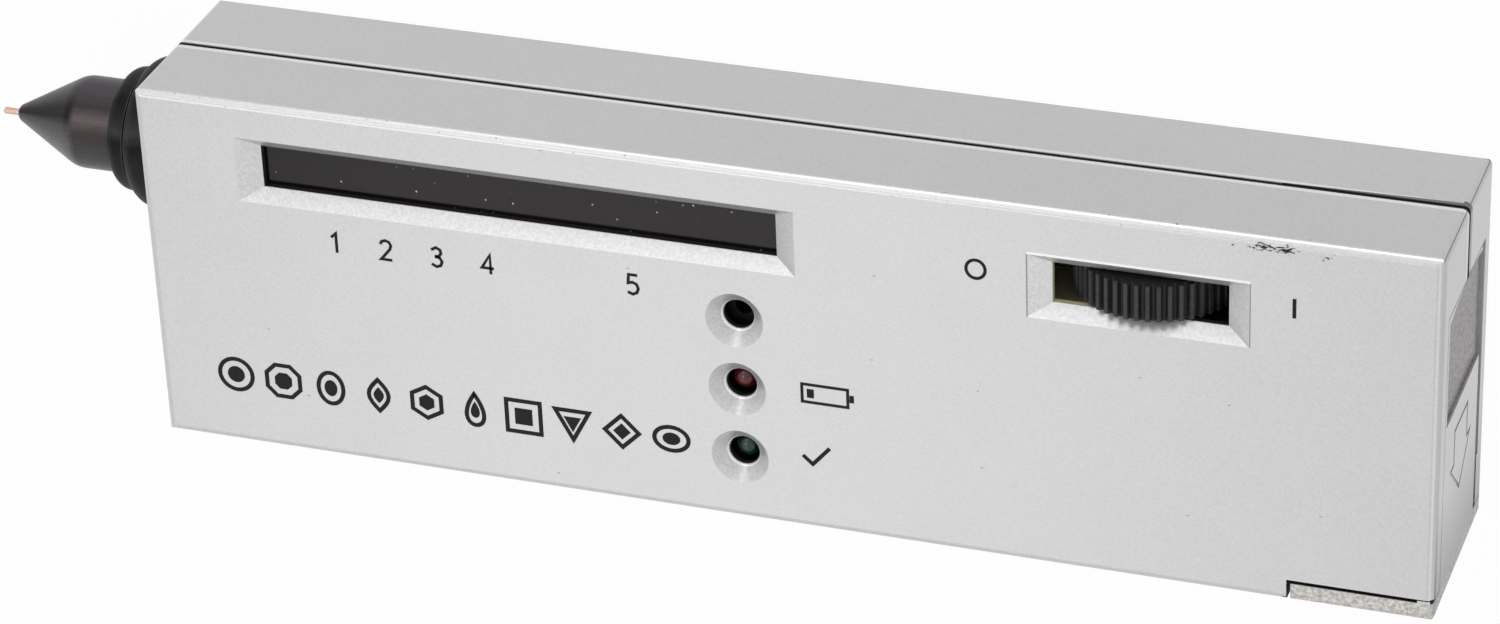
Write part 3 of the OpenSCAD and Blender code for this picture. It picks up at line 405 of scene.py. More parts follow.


def silver_coat(name):
    """Material of the coat, with the sockets that a part of its own may build on."""
    made, tree, shader = new_material(name)
    point, parts = place(tree)
    flake = add(tree, "SeparateColor", add(tree, "TexVoronoi", point, Scale=per_mm(FLAKE_MM), out="Color"))
    cloud = add(tree, "TexNoise", point, Scale=per_mm(CLOUD_MM), Detail=3.0)
    grain = add(tree, "TexNoise", point, Scale=per_mm(GRAIN_MM), Detail=3.0)
    light = add(tree, "ValToRGB", flake, stops=[(0.0, "#cbcbcb"), (1.0, "#d6d6d6")])
    dull = add(tree, "ValToRGB", flake, stops=[(0.0, "#c6c6c6"), (1.0, "#d1d1d1")])
    uneven = add(tree, "Math", cloud, CLOUD_MOST, CLOUD_SOFT, operation="SMOOTH_MIN")
    coat = add(tree, "Mix", uneven, light, dull, data_type="RGBA")
    sunk = within(tree, parts, z=(BEVEL_FOOT, FACE - SUNK_FROM), **INSIDE)
    # Each mask with the tone that it lays over the coat
    layers = [
        (sunk, add(tree, "ValToRGB", grain, stops=[(0.35, "#c5c5c5"), (0.65, "#d6d6d6")])),
        # Painted highlights: lines by the seam and above the slot, and rings round the dish holes
        (painted_highlight_lines(tree, parts), linear("#f0f0f0")),
        (painted_rim_highlights(tree, point, parts), linear("#fbfbfb")),
        # Painted shade of the gaping seam
        (seam_gap_painted_shade(tree, parts), linear("#5f5f5f")),
        (marks(tree, point, parts), linear("#9a9a9a")),
        # Painted shade: at the slot's ends, on the crests of the upper edges, and low on the battery end
        (painted_shade_slot_ends(tree, parts), linear("#8a8a8a")),
        (painted_shade_crests(tree, parts), linear("#6e6e6e")),
        (low_end_painted_shade(tree, parts), linear("#787878")),
    ]
    for mask, tone in layers:
        coat = add(tree, "Mix", mask, coat, tone, data_type="RGBA")
    bare = any_of(tree, bare_places(tree, parts), chips(tree, point, parts))
    # Bare plastic is dark; beside the wheel it is painted pale, as painted light falling in through the slot
    light_through_slot = within(tree, parts, **LIT_BEHIND_SLOT)
    under = add(tree, "Mix", light_through_slot, linear("#0e0d0c"), linear("#e4dbb6"), data_type="RGBA")
    gloss = add(tree, "MapRange", flake, To_Min=0.3, To_Max=0.36)
    peel = add(tree, "TexNoise", point, Scale=per_mm(PEEL_MM), Detail=4.0)
    feed(shader,
         Base_Color=add(tree, "Mix", bare, coat, under, data_type="RGBA"),
         Metallic=add(tree, "Math", bare, -METAL, METAL, operation="MULTIPLY_ADD"),
         Roughness=add(tree, "Math", bare, MATT, gloss, operation="MULTIPLY_ADD"),
         Normal=add(tree, "Bump", Height=peel, Strength=0.1, Distance=PEEL_DEEP * MM),
         Coat_Weight=add(tree, "Math", bare, -FILM, FILM, operation="MULTIPLY_ADD"),
         Coat_Roughness=0.15)
    return made, tree, shader, point, parts


# Silver lacquer, sprayed: a pale satin sheen, alive with flakes, under a thin clear film
silver_case = silver_coat("silver_lacquer_on_abs")[0]
dress(silver_case, "front_shell", "rear_shell")

# %% [markdown]
# ## The battery door: rough grip and foot
#
# The door has the same coat, but two places of its tool were spark eroded instead of polished: the
# sunk thumb grip and the foot along the lower edge. There the lacquer lies on a sandy grain, which
# scatters the light and looks darker and a little warmer, and on the foot it is mottled. The grain is
# a bump of the real grit size, mixed in by position, so the door stays one piece.

# %% Door
GRIT_MM, GRIT_DEEP = 0.36, 0.08
SANDY_BUMP, SANDY_MATT = 0.7, 0.3
MOTTLE_MM = 0.4
GRIP_LENGTH, GRIP_DEPTH, DOOR_REAR = 13.4, 0.4, 3.6


def source(shader, name):
    """What is linked to a socket of the shader so far."""
    return shader.inputs[name].links[0].from_socket


# Silver lacquer on sparked plastic: the same silver, with two dull sandy patches
door_coat, tree, shader, point, parts = silver_coat("silver_lacquer_on_sparked_abs")
grip = within(tree, parts, x=(RIGHT - GRIP_DEPTH - SLIP, RIGHT - GRIP_DEPTH + 0.2),
              y=(DOOR_TOP - GRIP_LENGTH - CLEAR, DOOR_TOP - TOUCH), z=(DOOR_REAR, DOOR_FRONT))
foot = within(tree, parts, x=(RIGHT - FOOT_LENGTH - CLEAR, RIGHT + CLEAR),
              y=(BOTTOM - CLEAR, BOTTOM + FOOT_THICK - 0.03), z=(-CLEAR, FACE + CLEAR))
sandy = any_of(tree, grip, foot)
grit = add(tree, "TexNoise", point, Scale=per_mm(GRIT_MM), Detail=2.0, Roughness=0.6)
mottle = add(tree, "TexNoise", point, Scale=per_mm(MOTTLE_MM), Detail=4.0, Roughness=0.7)
tone = source(shader, "Base Color")
for patch, pattern, stops in ((grip, grit, [(0.3, "#787374"), (0.7, "#cac5c6")]),
                              (foot, mottle, [(0.35, "#b0a9a2"), (0.65, "#f6f4f1")])):
    tone = add(tree, "Mix", patch, tone, add(tree, "ValToRGB", pattern, stops=stops), data_type="RGBA")
deep = add(tree, "Math", sandy, SANDY_BUMP, operation="MULTIPLY")
feed(shader,
     Base_Color=tone,
     Normal=add(tree, "Bump", Height=grit, Strength=deep, Distance=GRIT_DEEP * MM,
                Normal=source(shader, "Normal")),
     Roughness=add(tree, "Math", sandy, SANDY_MATT, source(shader, "Roughness"), operation="MULTIPLY_ADD"),
     Metallic=add(tree, "Math", sandy, -SANDY_MATT, source(shader, "Metallic"), operation="MULTIPLY_ADD"))
dress(door_coat, "battery_door")

# %% [markdown]
# ## Smoked acrylic over the lamp row
#
# The window is a strip of smoked cast acrylic, polished on both sides and nearly black until a lamp
# behind it lights. It could be made see-through, but with its lamps off nothing shows behind it, so a
# dark surface with the gloss of acrylic looks the same. Cast acrylic has an index of 1.49. Dust has
# settled on it: specks of different brightness, one in a few of the cells of a coarse pattern, each
# smaller than a quarter of a millimetre.

# %% Lens
DUST_MM, SPECK, DUST_CHANCE = 1.4, 0.075, 0.8
DUST_MATT, POLISH = 0.6, 0.16
HAZE_MM = 14
# Smoked acrylic: almost black, with a clean mirror of the room and pale dust on it
smoked, tree, shader = new_material("smoked_cast_acrylic")
point = place(tree)[0]
cells = add(tree, "TexVoronoi", point, Scale=per_mm(DUST_MM), voronoi_dimensions="2D", out=None).outputs
draw = add(tree, "SeparateColor", cells["Color"], out=None).outputs
near = add(tree, "Math", cells["Distance"], SPECK, operation="LESS_THAN")
dust = all_of(tree, near, add(tree, "Math", draw[1], DUST_CHANCE, operation="GREATER_THAN"))
haze = add(tree, "TexNoise", point, Scale=per_mm(HAZE_MM), Detail=4.0)
tint = add(tree, "ValToRGB", haze, stops=[(0.3, "#140d10"), (0.7, "#1b1215")])
pale = add(tree, "ValToRGB", draw[2], stops=[(0.5, "#4c4846"), (1.0, "#e6e3e0")])
feed(shader,
     Base_Color=add(tree, "Mix", dust, tint, pale, data_type="RGBA"),
     Roughness=add(tree, "Math", dust, DUST_MATT, POLISH, operation="MULTIPLY_ADD"),
     IOR=1.49, Specular_IOR_Level=0.23)
dress(smoked, "window_lens")

# %% [markdown]
# ## Moulded plastics, epoxies and metals
#
# Most other pieces are one material each, and differ in tone, gloss and grain. One function makes
# them: a noise of the given size moves the colour between two near tones, the same noise moves the
# roughness, and a finer one gives the surface a slight relief. A tinted epoxy lamp gets a clear coat
# on top of its colour, because its skin is smooth while its colour lies deeper.

# %% One function for plain pieces
def plain_piece(name, darker, lighter, rough, grain_mm, metal=0.0, relief_mm=0.01, coat=0.0, gloss=0.5):
    """Material of one tone and grain."""
    made, tree, shader = new_material(name)
    point = place(tree)[0]
    grain = add(tree, "TexNoise", point, Scale=per_mm(grain_mm), Detail=4.0)
    fine = add(tree, "TexNoise", point, Scale=per_mm(grain_mm / 4), Detail=2.0)
    feed(shader,
         Base_Color=add(tree, "ValToRGB", grain, stops=[(0.3, darker), (0.7, lighter)]),
         Roughness=add(tree, "MapRange", grain, To_Min=rough * 0.85, To_Max=rough * 1.15),
         Normal=add(tree, "Bump", Height=fine, Strength=0.3, Distance=relief_mm * MM),
         Metallic=metal, Specular_IOR_Level=gloss, Coat_Weight=coat, Coat_Roughness=0.08)
    return made


print("plain pieces ready")

# %% Lamps behind the face
# Tinted epoxy, cast: dark and deep while the lamp is off, with a soft highlight on its dome
dress(plain_piece("red_tinted_epoxy", "#431215", "#6a2226", 0.3, 1.2, coat=0.4, gloss=0.3),
      "low_battery_lamp", "red_lamps")
dress(plain_piece("green_tinted_epoxy", "#0e2a1f", "#1a4231", 0.3, 1.2, coat=0.4, gloss=0.3),
      "ready_lamp", "green_lamps")
# Diffused epoxy, cast with a white filler: an even milky yellow
dress(plain_piece("yellow_diffused_epoxy", "#b98a1e", "#d3a63a", 0.35, 1.2, coat=0.6), "yellow_lamps")

# %% Black mouldings
# Black ABS, moulded: deep black with hardly any shine
dress(plain_piece("black_moulded_abs", "#0c0c0c", "#161616", 0.5, 1.5, gloss=0.2),
      "lamp_holder", "lamp_spacers", "buzzer", "driver_chip", "amplifier_chip", "probe_plug", "battery_clip")

# %% Metals
# Steel, nickel plated: a bright, slightly warm mirror that is a little soft
dress(plain_piece("nickel_plated_steel", "#a9a8a4", "#bdbcb8", 0.28, 2.0, metal=1.0, relief_mm=0.004),
      "wheel_screw", "pot_shaft", "probe_sleeve", "probe_spring", "battery_studs", "case_screws",
      "board_screws")
# Copper wire, drawn and tarnished: pale rose with darker patches
dress(plain_piece("drawn_copper", "#ab8473", "#d1b8ac", 0.3, 0.8, metal=1.0, relief_mm=0.006), "probe_tip")

# %% Parts of the circuit
# Phenolic paper, pressed: dull brown with the fleck of its paper
dress(plain_piece("phenolic_board", "#5d4526", "#755a33", 0.55, 1.0), "pot_body")
# Sleeve of shrunk PVC: smooth dark blue
dress(plain_piece("pvc_shrink_sleeve", "#141a33", "#1e2747", 0.32, 2.5), "capacitors")
# PBT, moulded: a clear satin blue
dress(plain_piece("blue_moulded_pbt", "#173c78", "#21508f", 0.4, 1.5), "trimmers")
# Insulation of extruded PVC: even and softly shining
dress(plain_piece("grey_pvc_insulation", "#8b8680", "#a29d96", 0.5, 1.5), "probe_leads")
dress(plain_piece("red_pvc_insulation", "#8f1512", "#a8211b", 0.45, 1.5), "red_lead")
dress(plain_piece("black_pvc_insulation", "#151515", "#222222", 0.45, 1.5), "black_lead")
# Steel jacket, enamelled and rolled: dark and glossy
dress(plain_piece("enamelled_steel_jacket", "#17181b", "#212328", 0.3, 8.0, metal=0.2, coat=0.4), "battery")

# %% [markdown]
# ## Circuit board and resistors
#
# The board is glass fibre under green solder mask. Copper tracks below the mask show as lighter
# green lines, a few millimetres apart. Modelled tracks would hardly be seen inside the case, so a
# brick pattern with long bricks imitates them. A resistor is a lacquered tan body with painted bands
# that tell its value: bands across the body, by position.

# %% Solder mask over tracks
TRACK_MM, TRACK_DEEP = 2.54, 0.03
WEAVE_MM = 0.5
# Solder mask on glass fibre: glossy green with paler lines that stand out a little
board, tree, shader = new_material("solder_mask_on_glass_fibre")
point = place(tree)[0]
tracks = add(tree, "TexBrick", point, Scale=per_mm(TRACK_MM * 4), offset=0.37, squash=1.0,
             Mortar_Size=0.06, Mortar_Smooth=0.1, Brick_Width=1.6, Row_Height=0.25,
             Color1=linear("#0f4a24"), Color2=linear("#12542a"), Mortar=linear("#2b7a45"), out=None).outputs
weave = add(tree, "TexNoise", point, Scale=per_mm(WEAVE_MM), Detail=2.0)
feed(shader,
     Base_Color=tracks["Color"],
     Roughness=add(tree, "MapRange", weave, To_Min=0.25, To_Max=0.38),
     Normal=add(tree, "Bump", Height=tracks["Fac"], Strength=0.4, Distance=TRACK_DEEP * MM))
dress(board, "circuit_board")

# %% Banded resistors
BAND_MM, SPECKLE_MM = 0.45, 1.0
BANDS = ((0.24, "#6b3a1a"), (0.38, "#1b1b1b"), (0.52, "#a3261c"), (0.74, "#a8842f"))
resistor_low, resistor_high = [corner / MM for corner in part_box("resistors")]
# Lacquered resistor: satin tan with thin rings of colour
banded, tree, shader = new_material("lacquered_resistor")
point, parts = place(tree)
grain = add(tree, "TexNoise", point, Scale=per_mm(SPECKLE_MM), Detail=3.0)
colour = add(tree, "ValToRGB", grain, stops=[(0.3, "#b19468"), (0.7, "#c4a97e")])
for start, code in BANDS:
    low = resistor_low.y + start * (resistor_high.y - resistor_low.y)
    band = within(tree, parts, y=(low, low + BAND_MM))
    colour = add(tree, "Mix", band, colour, linear(code), data_type="RGBA")
feed(shader, Base_Color=colour, Roughness=add(tree, "MapRange", grain, To_Min=0.3, To_Max=0.42))
dress(banded, "resistors")

# %% [markdown]
# ## The ribbed thumbwheel
#
# The wheel is moulded in black ABS. Fingers polish the crests of its ribs and leave a grey film on
# them, so the crests are a little lighter and glossier than the grooves. The ribs are in the solid
# already, and how far a point lies from the wheel's axis tells a crest from a groove.

# %% Wheel
RIB_DEEP = 0.45
WHEEL_GRAIN_MM, WHEEL_RELIEF = 0.35, 0.03
wheel_low, wheel_high = [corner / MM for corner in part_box("thumbwheel")]
wheel_mid = (wheel_low + wheel_high) / 2
WHEEL_R = (wheel_high.x - wheel_low.x) / 2
# Black ABS, rubbed by thumbs: matt black grooves and grey, faintly shining crests
rubbed, tree, shader = new_material("thumb_rubbed_black_abs")
point = place(tree)[0]
radius = from_axis(tree, point, wheel_mid * MM, (1, 0, 1))
crest = add(tree, "MapRange", radius, From_Min=(WHEEL_R - RIB_DEEP) * MM, From_Max=WHEEL_R * MM)
grain = add(tree, "TexNoise", point, Scale=per_mm(WHEEL_GRAIN_MM), Detail=4.0)
worn = all_of(tree, crest, grain)
feed(shader,
     Base_Color=add(tree, "ValToRGB", worn, stops=[(0.05, "#0a0a0a"), (0.3, "#191919"), (0.65, "#343434")]),
     Roughness=add(tree, "MapRange", crest, To_Min=0.65, To_Max=0.42),
     Normal=add(tree, "Bump", Height=grain, Strength=0.4, Distance=WHEEL_RELIEF * MM),
     Specular_IOR_Level=0.4)
dress(rubbed, "thumbwheel")

# %% [markdown]
# ## The probe: turned nose and collar
#
# The nose is turned from a dark brown-grey phenolic. Lengthwise bands of painted reflection run from
# the collar to the tip, lighter and darker, as the room would show in its gloss. They follow the angle
# round the probe's axis, and differ on the barrel, on the cone and on the rims behind it. The collar
# and the base are black acetal. The lathe left fine rings on them, which follow the distance along
# the axis, and the ring where the two meet is painted lighter: painted light that takes the shade out
# of the joint.

# %% Angle and distance on the probe
nose_low, nose_high = [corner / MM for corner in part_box("probe_nose")]
PROBE_Y, PROBE_Z = (nose_low.y + nose_high.y) / 2, (nose_low.z + nose_high.z) / 2
WOBBLE = 5          # degrees by which a band of painted reflection wanders
# Degrees up from the front, and the tone of the painted reflection there
BARREL_REFLECTIONS = [(-60, "#686666"), (-12, "#504e4e"), (15, "#3d3232"), (30, "#726567"), (48, "#333033"),
          (70, "#544c52"), (120, "#605a5e")]
CONE_REFLECTIONS = [(-60, "#848284"), (-14, "#7c7a7c"), (20, "#504e50"), (31, "#080707"), (46, "#120e0e"),
        (62, "#444041"), (95, "#686566")]
RIM_REFLECTIONS = [(-60, "#3c3c3c"), (0, "#282828"), (14, "#121212"), (24, "#404040"), (40, "#242424"),
        (54, "#040404"), (74, "#2c2c2c")]


def round_axis(tree, parts, wobble):
    """Angle round the probe's axis from 0 to 1, with the front at a half and the top at three quarters."""
    up_part = add(tree, "Math", parts[1], PROBE_Y * MM, operation="SUBTRACT")
    out_part = add(tree, "Math", parts[2], PROBE_Z * MM, operation="SUBTRACT")
    angle = add(tree, "Math", up_part, out_part, operation="ARCTAN2")
    wandering = add(tree, "Math", wobble, math.radians(WOBBLE), angle, operation="MULTIPLY_ADD")
    return add(tree, "MapRange", wandering, From_Min=-math.pi, From_Max=math.pi)


def painted_reflections(tree, turn, stops):
    """Painted reflections: colour by the angle. The wobble's mean is half of it, and is taken off again."""
    return add(tree, "ValToRGB", turn,
               stops=[((degrees + 180 + WOBBLE / 2) / 360, code) for degrees, code in stops])


print("probe axis at", round(PROBE_Y, 2), round(PROBE_Z, 2), "mm")

# %% Nose
CONE_LENGTH = 8.2
WANDER_MM = 3.0
HAIR_MM, HAIR_STRETCH, HAIR_DEEP = 0.22, 0.06, 0.01
# Phenolic, turned: dark brown-grey, with soft lengthwise bands of painted reflection
nose_grey, tree, shader = new_material("turned_brown_phenolic")
point, parts = place(tree)
turn = round_axis(tree, parts, add(tree, "TexNoise", point, Scale=per_mm(WANDER_MM), Detail=3.0))
cone_end = nose_low.x + CONE_LENGTH
straight = add(tree, "MapRange", parts[0], From_Min=(cone_end + 0.1) * MM, From_Max=(cone_end + 0.9) * MM)
colour = add(tree, "Mix", straight, painted_reflections(tree, turn, CONE_REFLECTIONS), painted_reflections(tree, turn, BARREL_REFLECTIONS), data_type="RGBA")
stretched = add(tree, "VectorMath", point, (HAIR_STRETCH, 1, 1), operation="MULTIPLY")
hairs = add(tree, "TexNoise", stretched, Scale=per_mm(HAIR_MM), Detail=3.0)
fine = add(tree, "ValToRGB", hairs, stops=[(0.3, "#d9d9d9"), (0.7, "#ffffff")])
feed(shader,
     Base_Color=add(tree, "Mix", 1.0, colour, fine, data_type="RGBA", blend_type="MULTIPLY"),
     Roughness=add(tree, "MapRange", hairs, To_Min=0.3, To_Max=0.42),
     Normal=add(tree, "Bump", Height=hairs, Strength=0.2, Distance=HAIR_DEEP * MM),
     Specular_IOR_Level=0.2)
dress(nose_grey, "probe_nose")

# %% Collar and base
RING_MM, RING_DEEP = 0.3, 0.012
WAX_MM = 1.4
BASE_LENGTH = 4.5
# Acetal, turned: black and waxy, with fine rings and broad soft bands of painted reflection
turned, tree, shader = new_material("turned_black_acetal")
point, parts = place(tree)
along = add(tree, "Math", parts[0], 2 * math.pi * per_mm(RING_MM), operation="MULTIPLY")
rings = add(tree, "Math", along, operation="SINE")
grain = add(tree, "TexNoise", point, Scale=per_mm(WAX_MM), Detail=4.0)
ringed = add(tree, "Math", rings, 0.12, grain, operation="MULTIPLY_ADD")
fine = add(tree, "ValToRGB", ringed, stops=[(0.3, "#c4c4c4"), (0.7, "#ffffff")])
colour = painted_reflections(tree, round_axis(tree, parts, grain), RIM_REFLECTIONS)
# The ring where collar and base meet is painted lighter: painted light that takes out the joint's shade
joint_painted_light = within(tree, parts, x=(LEFT - BASE_LENGTH - 0.1, LEFT - BASE_LENGTH + 0.6))
colour = add(tree, "Mix", joint_painted_light, colour, linear("#4e4c4a"), data_type="RGBA")
feed(shader,
     Base_Color=add(tree, "Mix", 1.0, colour, fine, data_type="RGBA", blend_type="MULTIPLY"),
     Roughness=add(tree, "MapRange", grain, To_Min=0.42, To_Max=0.55),
     Normal=add(tree, "Bump", Height=rings, Strength=0.25, Distance=RING_DEEP * MM),
     Specular_IOR_Level=0.1)
dress(turned, "probe_collar", "probe_base")

# %% [markdown]
# ## Printed marks
#
# Marks on such a case are pad printed: a soft pad presses a film of black ink about 0.02 mm thick
# on the lacquer. A mask could print them, but a plate of ink keeps a clean edge from any distance, so
# each mark here is a thin plate that rides on the case. The signs are plain ones: a row of gem cuts
# with filled middles, numbers under the lamps, a ring and a bar at the ends of the switch, a battery
# with one bar left, and a tick. A sign is drawn as strokes, and one function turns a stroke into a
# plate of the pen's width.

# %% Ink
INK_MM = 0.03
INK_TOP = (FACE + INK_MM) * MM
SHARPEST = 0.4      # keeps the mitre of a sharp corner short
# Ink, pad printed: flat black with hardly any shine
ink = plain_piece("pad_printed_black_ink", "#0a0a0a", "#141414", 0.5, 0.6, gloss=0.2)


def stroke(plate, points, width, closed=False):
    """Adds a stroke of a pen along points in mm, with mitred corners, to a plate of ink."""
    count = len(points)
    spots = [Vector(p) for p in points]
    rows = []
    for i, spot in enumerate(spots):
        ends = []
        if closed or i > 0:
            ends.append((spots[i - 1], spot))
        if closed or i < count - 1:
            ends.append((spot, spots[(i + 1) % count]))
        sides = [(b - a).normalized() for a, b in ends]
        normals = [Vector((-s.y, s.x)) for s in sides]
        middle = sum(normals, Vector((0, 0))).normalized()
        reach = width / 2 / max(middle.dot(normals[0]), SHARPEST)
        pair = [(spot + side * reach * middle) * MM for side in (-1, 1)]
        rows.append([plate.verts.new((*corner, INK_TOP)) for corner in pair])
    for i in range(count if closed else count - 1):
        a, b = rows[i], rows[(i + 1) % count]
        plate.faces.new((a[0], b[0], b[1], a[1]))


def printed(name, plate):
    """Makes a plate of ink a piece: gives it its thickness and lets it ride on the case."""
    top = plate.faces[:]
    made = bmesh.ops.extrude_face_region(plate, geom=top)
    for vert in [v for v in made["geom"] if isinstance(v, bmesh.types.BMVert)]:
        vert.co.z -= INK_MM * MM
    bmesh.ops.recalc_face_normals(plate, faces=plate.faces[:])
    mesh = bpy.data.meshes.new(name)
    plate.to_mesh(mesh)
    plate.free()
    mesh.materials.append(ink)
    piece = bpy.data.objects.new(name, mesh)
    bpy.context.scene.collection.objects.link(piece)
    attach(piece, "case")
    print(name, len(mesh.polygons), "faces")


def ring(middle, wide, high, count=28, start=0.0):
    """Points of an ellipse, or of a regular shape where the count is small."""
    turns = [start + 2 * math.pi * i / count for i in range(count)]
    return [(middle[0] + wide / 2 * math.cos(a), middle[1] + high / 2 * math.sin(a)) for a in turns]


print("ink", INK_MM, "mm thick")

# %% Outlines of the gem cuts
CUT_HIGH = 4.0
OVAL = 0.75 * CUT_HIGH
half = CUT_HIGH / 2
slant = 0.55 * half
brow = 0.85 * half


def pointed_oval(half_wide, half_high, count=9):
    """Two arcs that meet in a point at the top and at the bottom."""
    bow = [(half_wide * math.cos(math.pi * (i / (count - 1) - 0.5)), half_high * (2 * i / (count - 1) - 1))
           for i in range(count)]
    return bow + [(-x, y) for x, y in reversed(bow[1:-1])]


def drop(bulge, half_high, count=28):
    """A round drop with its point at the top."""
    turns = [2 * math.pi * i / count for i in range(count)]
    return [(bulge * math.sin(a) * math.sin(a / 2), half_high * math.cos(a)) for a in turns]


outlines = [
    ring((0, 0), CUT_HIGH, CUT_HIGH),
    [(-half, slant - half), (slant - half, -half), (half - slant, -half), (half, slant - half),
     (half, half - slant), (half - slant, half), (slant - half, half), (-half, half - slant)],
    ring((0, 0), OVAL, CUT_HIGH),
    pointed_oval(1.2, half),
    ring((0, 0), CUT_HIGH, CUT_HIGH, 6, math.pi / 2),
    drop(1.35, half),
    [(-half, half), (-half, -half), (half, -half), (half, half)],
    [(-half, brow), (0, -half), (half, brow)],
    ring((0, 0), CUT_HIGH, CUT_HIGH, 4),
    ring((0, 0), CUT_HIGH, OVAL),
]
print(len(outlines), "gem cuts")

# %% Gem cuts along the lower edge
FIRST_CUT, CUT_PITCH, CUT_PEN, CUT_MIDDLE = (-64.05, -13.05), 5.8, 0.5, 0.52
plate = bmesh.new()
for number, outline in enumerate(outlines):
    at = Vector(FIRST_CUT) + Vector((number * CUT_PITCH, 0))
    stroke(plate, [(x + at.x, y + at.y) for x, y in outline], CUT_PEN, closed=True)
    middle = [(CUT_MIDDLE * x + at.x, CUT_MIDDLE * y + at.y) for x, y in outline]
    plate.faces.new([plate.verts.new((x * MM, y * MM, INK_TOP)) for x, y in middle])
printed("gem_cut_signs", plate)

# %% Switch, battery and ready signs
plate = bmesh.new()
stroke(plate, ring((23.4, 13.6), 2.1, 2.2), 0.36, closed=True)
stroke(plate, [(57.7, 12.9), (57.7, 15.2)], 0.4)
printed("switch_signs", plate)

plate = bmesh.new()
stroke(plate, [(3.55, -5.75), (8.75, -5.75), (8.75, -3.55), (3.55, -3.55)], 0.34, closed=True)
stroke(plate, [(9.2, -5.1), (9.2, -4.2)], 0.5)
stroke(plate, [(4.5, -5.2), (4.5, -4.1)], 0.8)
printed("battery_sign", plate)

plate = bmesh.new()
stroke(plate, [(3.4, -12.6), (4.5, -13.6), (6.5, -11.3)], 0.45)
printed("ready_sign", plate)

# %% Numbers under the lamps
# Strokes of the figures 1 to 5 in a box one unit high, as drawn with a pen
FIGURES = {
    1: [[(0.06, 0.78), (0.3, 1.0), (0.3, 0.0)]],
    2: [[(0.04, 0.78), (0.12, 0.93), (0.3, 1.0), (0.48, 0.93), (0.56, 0.76), (0.5, 0.56), (0.04, 0.0),
         (0.58, 0.0)]],
    3: [[(0.06, 0.86), (0.3, 1.0), (0.5, 0.9), (0.53, 0.72), (0.42, 0.56), (0.22, 0.53)],
        [(0.22, 0.53), (0.46, 0.48), (0.56, 0.28), (0.48, 0.08), (0.28, 0.0), (0.04, 0.12)]],
    4: [[(0.44, 0.0), (0.44, 1.0), (0.02, 0.3), (0.6, 0.3)]],
    5: [[(0.54, 1.0), (0.12, 1.0), (0.08, 0.56), (0.28, 0.62), (0.48, 0.54), (0.56, 0.32), (0.48, 0.1),
         (0.28, 0.0), (0.04, 0.1)]],
}
FIGURE_HIGH, FIGURE_LOW, FIGURE_MIDDLE, FIGURE_PEN = 2.4, 4.7, 0.3, 0.34
FIGURE_X = {1: -50.2, 2: -44.3, 3: -38.3, 4: -32.3, 5: -15.4}
plate = bmesh.new()
for figure, at in FIGURE_X.items():
    for line in FIGURES[figure]:
        points = [(at + (x - FIGURE_MIDDLE) * FIGURE_HIGH, FIGURE_LOW + y * FIGURE_HIGH) for x, y in line]
        stroke(plate, points, FIGURE_PEN)
printed("lamp_numbers", plate)

# %% [markdown]
# ## Stage, light and camera
#
# The photograph is a cut-out on white. The floor is white to the camera and to reflections, and it
# still takes a faint shadow. Four soft lamps form an arch over the tester, which shows as a sheen on
# every surface that leans up or down, but not on those that lean sideways. One more lamp grazes the
# upper side and draws the bright line on its rounded edge, and two weak ones fill the battery end.

# %% Floor and world
FLOOR_HALF = 3.0
FLOOR_DROP = 0.05   # mm below the case, so that the two faces don't flicker
GLOW = 0.97         # share of the floor's own white; the rest takes the shadow
ROOM = 0.5


def seen_directly(tree):
    """1 for rays from the camera and for rays that metal or glass sends on."""
    path = add(tree, "LightPath", out=None).outputs
    return any_of(tree, path["Is Camera Ray"], path["Is Glossy Ray"], path["Is Transmission Ray"])


floor_mesh = bpy.data.meshes.new("floor")
corners = [(x * FLOOR_HALF, y * FLOOR_HALF, 0) for x, y in ((-1, -1), (1, -1), (1, 1), (-1, 1))]
floor_mesh.from_pydata(corners, [], [(0, 1, 2, 3)])
floor = bpy.data.objects.new("floor", floor_mesh)
floor.location.z = -FLOOR_DROP * MM
bpy.context.scene.collection.objects.link(floor)

# White paper, lit from below: plain white with a faint grey shadow
white_floor = bpy.data.materials.new("white_paper_floor")
white_floor.use_nodes = True
tree = white_floor.node_tree
tree.nodes.clear()
paper = add(tree, "BsdfDiffuse", Color=linear("#f4f4f4"))
glow = add(tree, "Emission", Color=(1, 1, 1, 1), Strength=seen_directly(tree))
add(tree, "OutputMaterial", Surface=add(tree, "MixShader", GLOW, paper, glow), out=None)
floor_mesh.materials.append(white_floor)

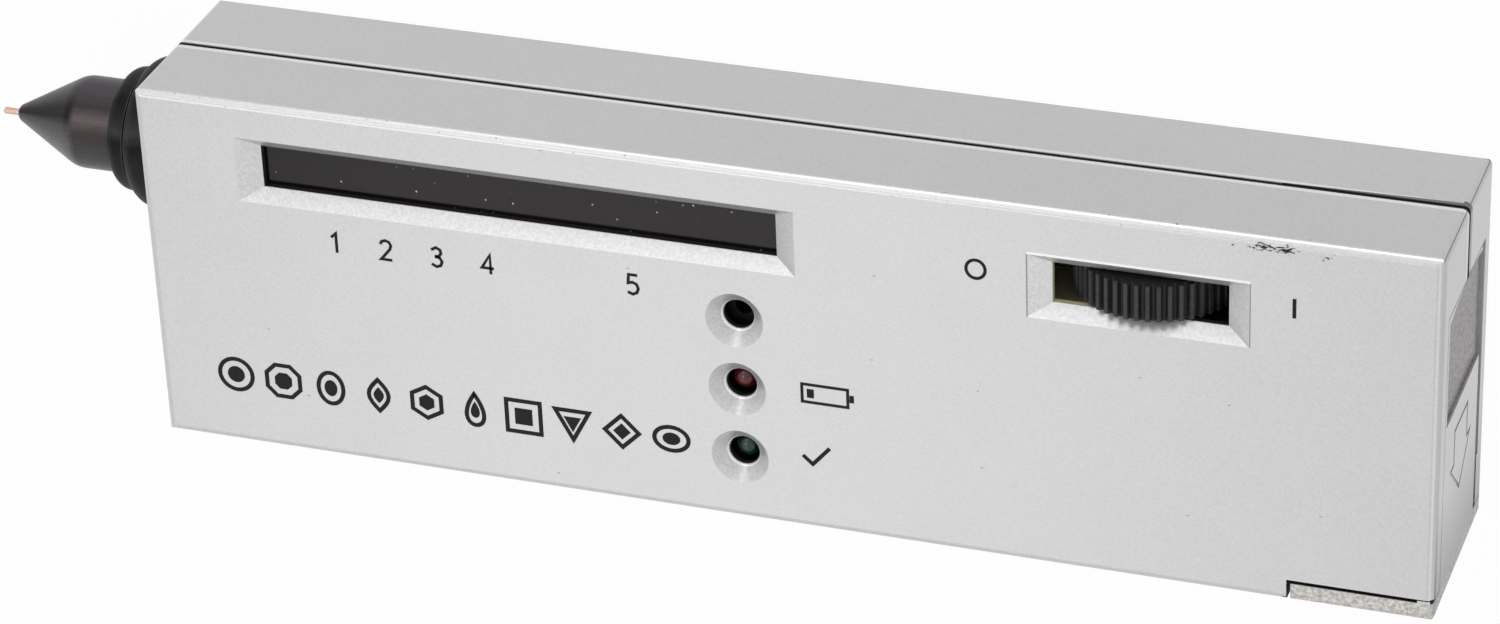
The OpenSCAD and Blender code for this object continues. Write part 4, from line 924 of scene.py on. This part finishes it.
world = bpy.data.worlds.new("soft_white_room")
world.use_nodes = True
bpy.context.scene.world = world
tree = world.node_tree
tree.nodes.clear()
level = add(tree, "MapRange", seen_directly(tree), To_Min=ROOM, To_Max=1.0)
sky = add(tree, "Background", Color=(1, 1, 1, 1), Strength=level)
add(tree, "OutputWorld", Surface=sky, out=None)
print("white floor and room")

# %% Lamps
AIM = Vector((0, 0, 10)) * MM
LAMP_SIZE, WIDE_LAMP = 0.35, 0.6
# Direction from the tester, and power in watts
ARCH = [((-0.30, 0.85, 0.42), 0.53), ((-0.32, 0.56, 0.77), 0.75), ((-0.36, 0.0, 0.93), 0.91),
        ((-0.30, -0.52, 0.80), 0.30)]


def soft_lamp(name, direction, size, power):
    """A round soft lamp one metre away from the tester, in metres and watts."""
    data = bpy.data.lights.new(name, "AREA")
    data.shape = "DISK"
    data.size = size
    data.energy = power
    made = bpy.data.objects.new(name, data)
    away = Vector(direction).normalized()
    made.location = AIM + away
    made.rotation_mode = "QUATERNION"
    made.rotation_quaternion = (-away).to_track_quat("-Z", "Y")
    bpy.context.scene.collection.objects.link(made)


for number, (direction, power) in enumerate(ARCH):
    soft_lamp("arch_%d" % number, direction, LAMP_SIZE, power)
soft_lamp("edge_light", (-0.17, 0.98, 0.10), LAMP_SIZE, 2.5)
soft_lamp("end_fill", (0.85, 0.45, 0.20), WIDE_LAMP, 0.7)
soft_lamp("low_fill", (0.58, -0.49, 0.65), LAMP_SIZE, 0.33)
print(len(ARCH), "lamps in the arch, and three beside it")

# %% Camera
PHOTO_WIDE, FOCAL = 1500, 5111.8    # both in pixels of the photograph
CAMERA_AT = Vector((162.87, 278.31, 469.5)) * MM
right = Vector((0.9446, -0.03697, -0.32613))
up = Vector((-0.13253, 0.86608, -0.48202))
back = right.cross(up)
turn = Matrix((right, up, back)).transposed().to_4x4()
lens_data = bpy.data.cameras.new("photo_camera")
lens_data.sensor_width = 36
lens_data.lens = FOCAL * lens_data.sensor_width / PHOTO_WIDE
lens_data.clip_start = 0.01
camera = bpy.data.objects.new("photo_camera", lens_data)
camera.matrix_world = Matrix.Translation(CAMERA_AT) @ turn
bpy.context.scene.collection.objects.link(camera)
bpy.context.scene.camera = camera
bpy.context.scene.view_settings.view_transform = "Standard"
print("lens", round(lens_data.lens, 1), "mm")
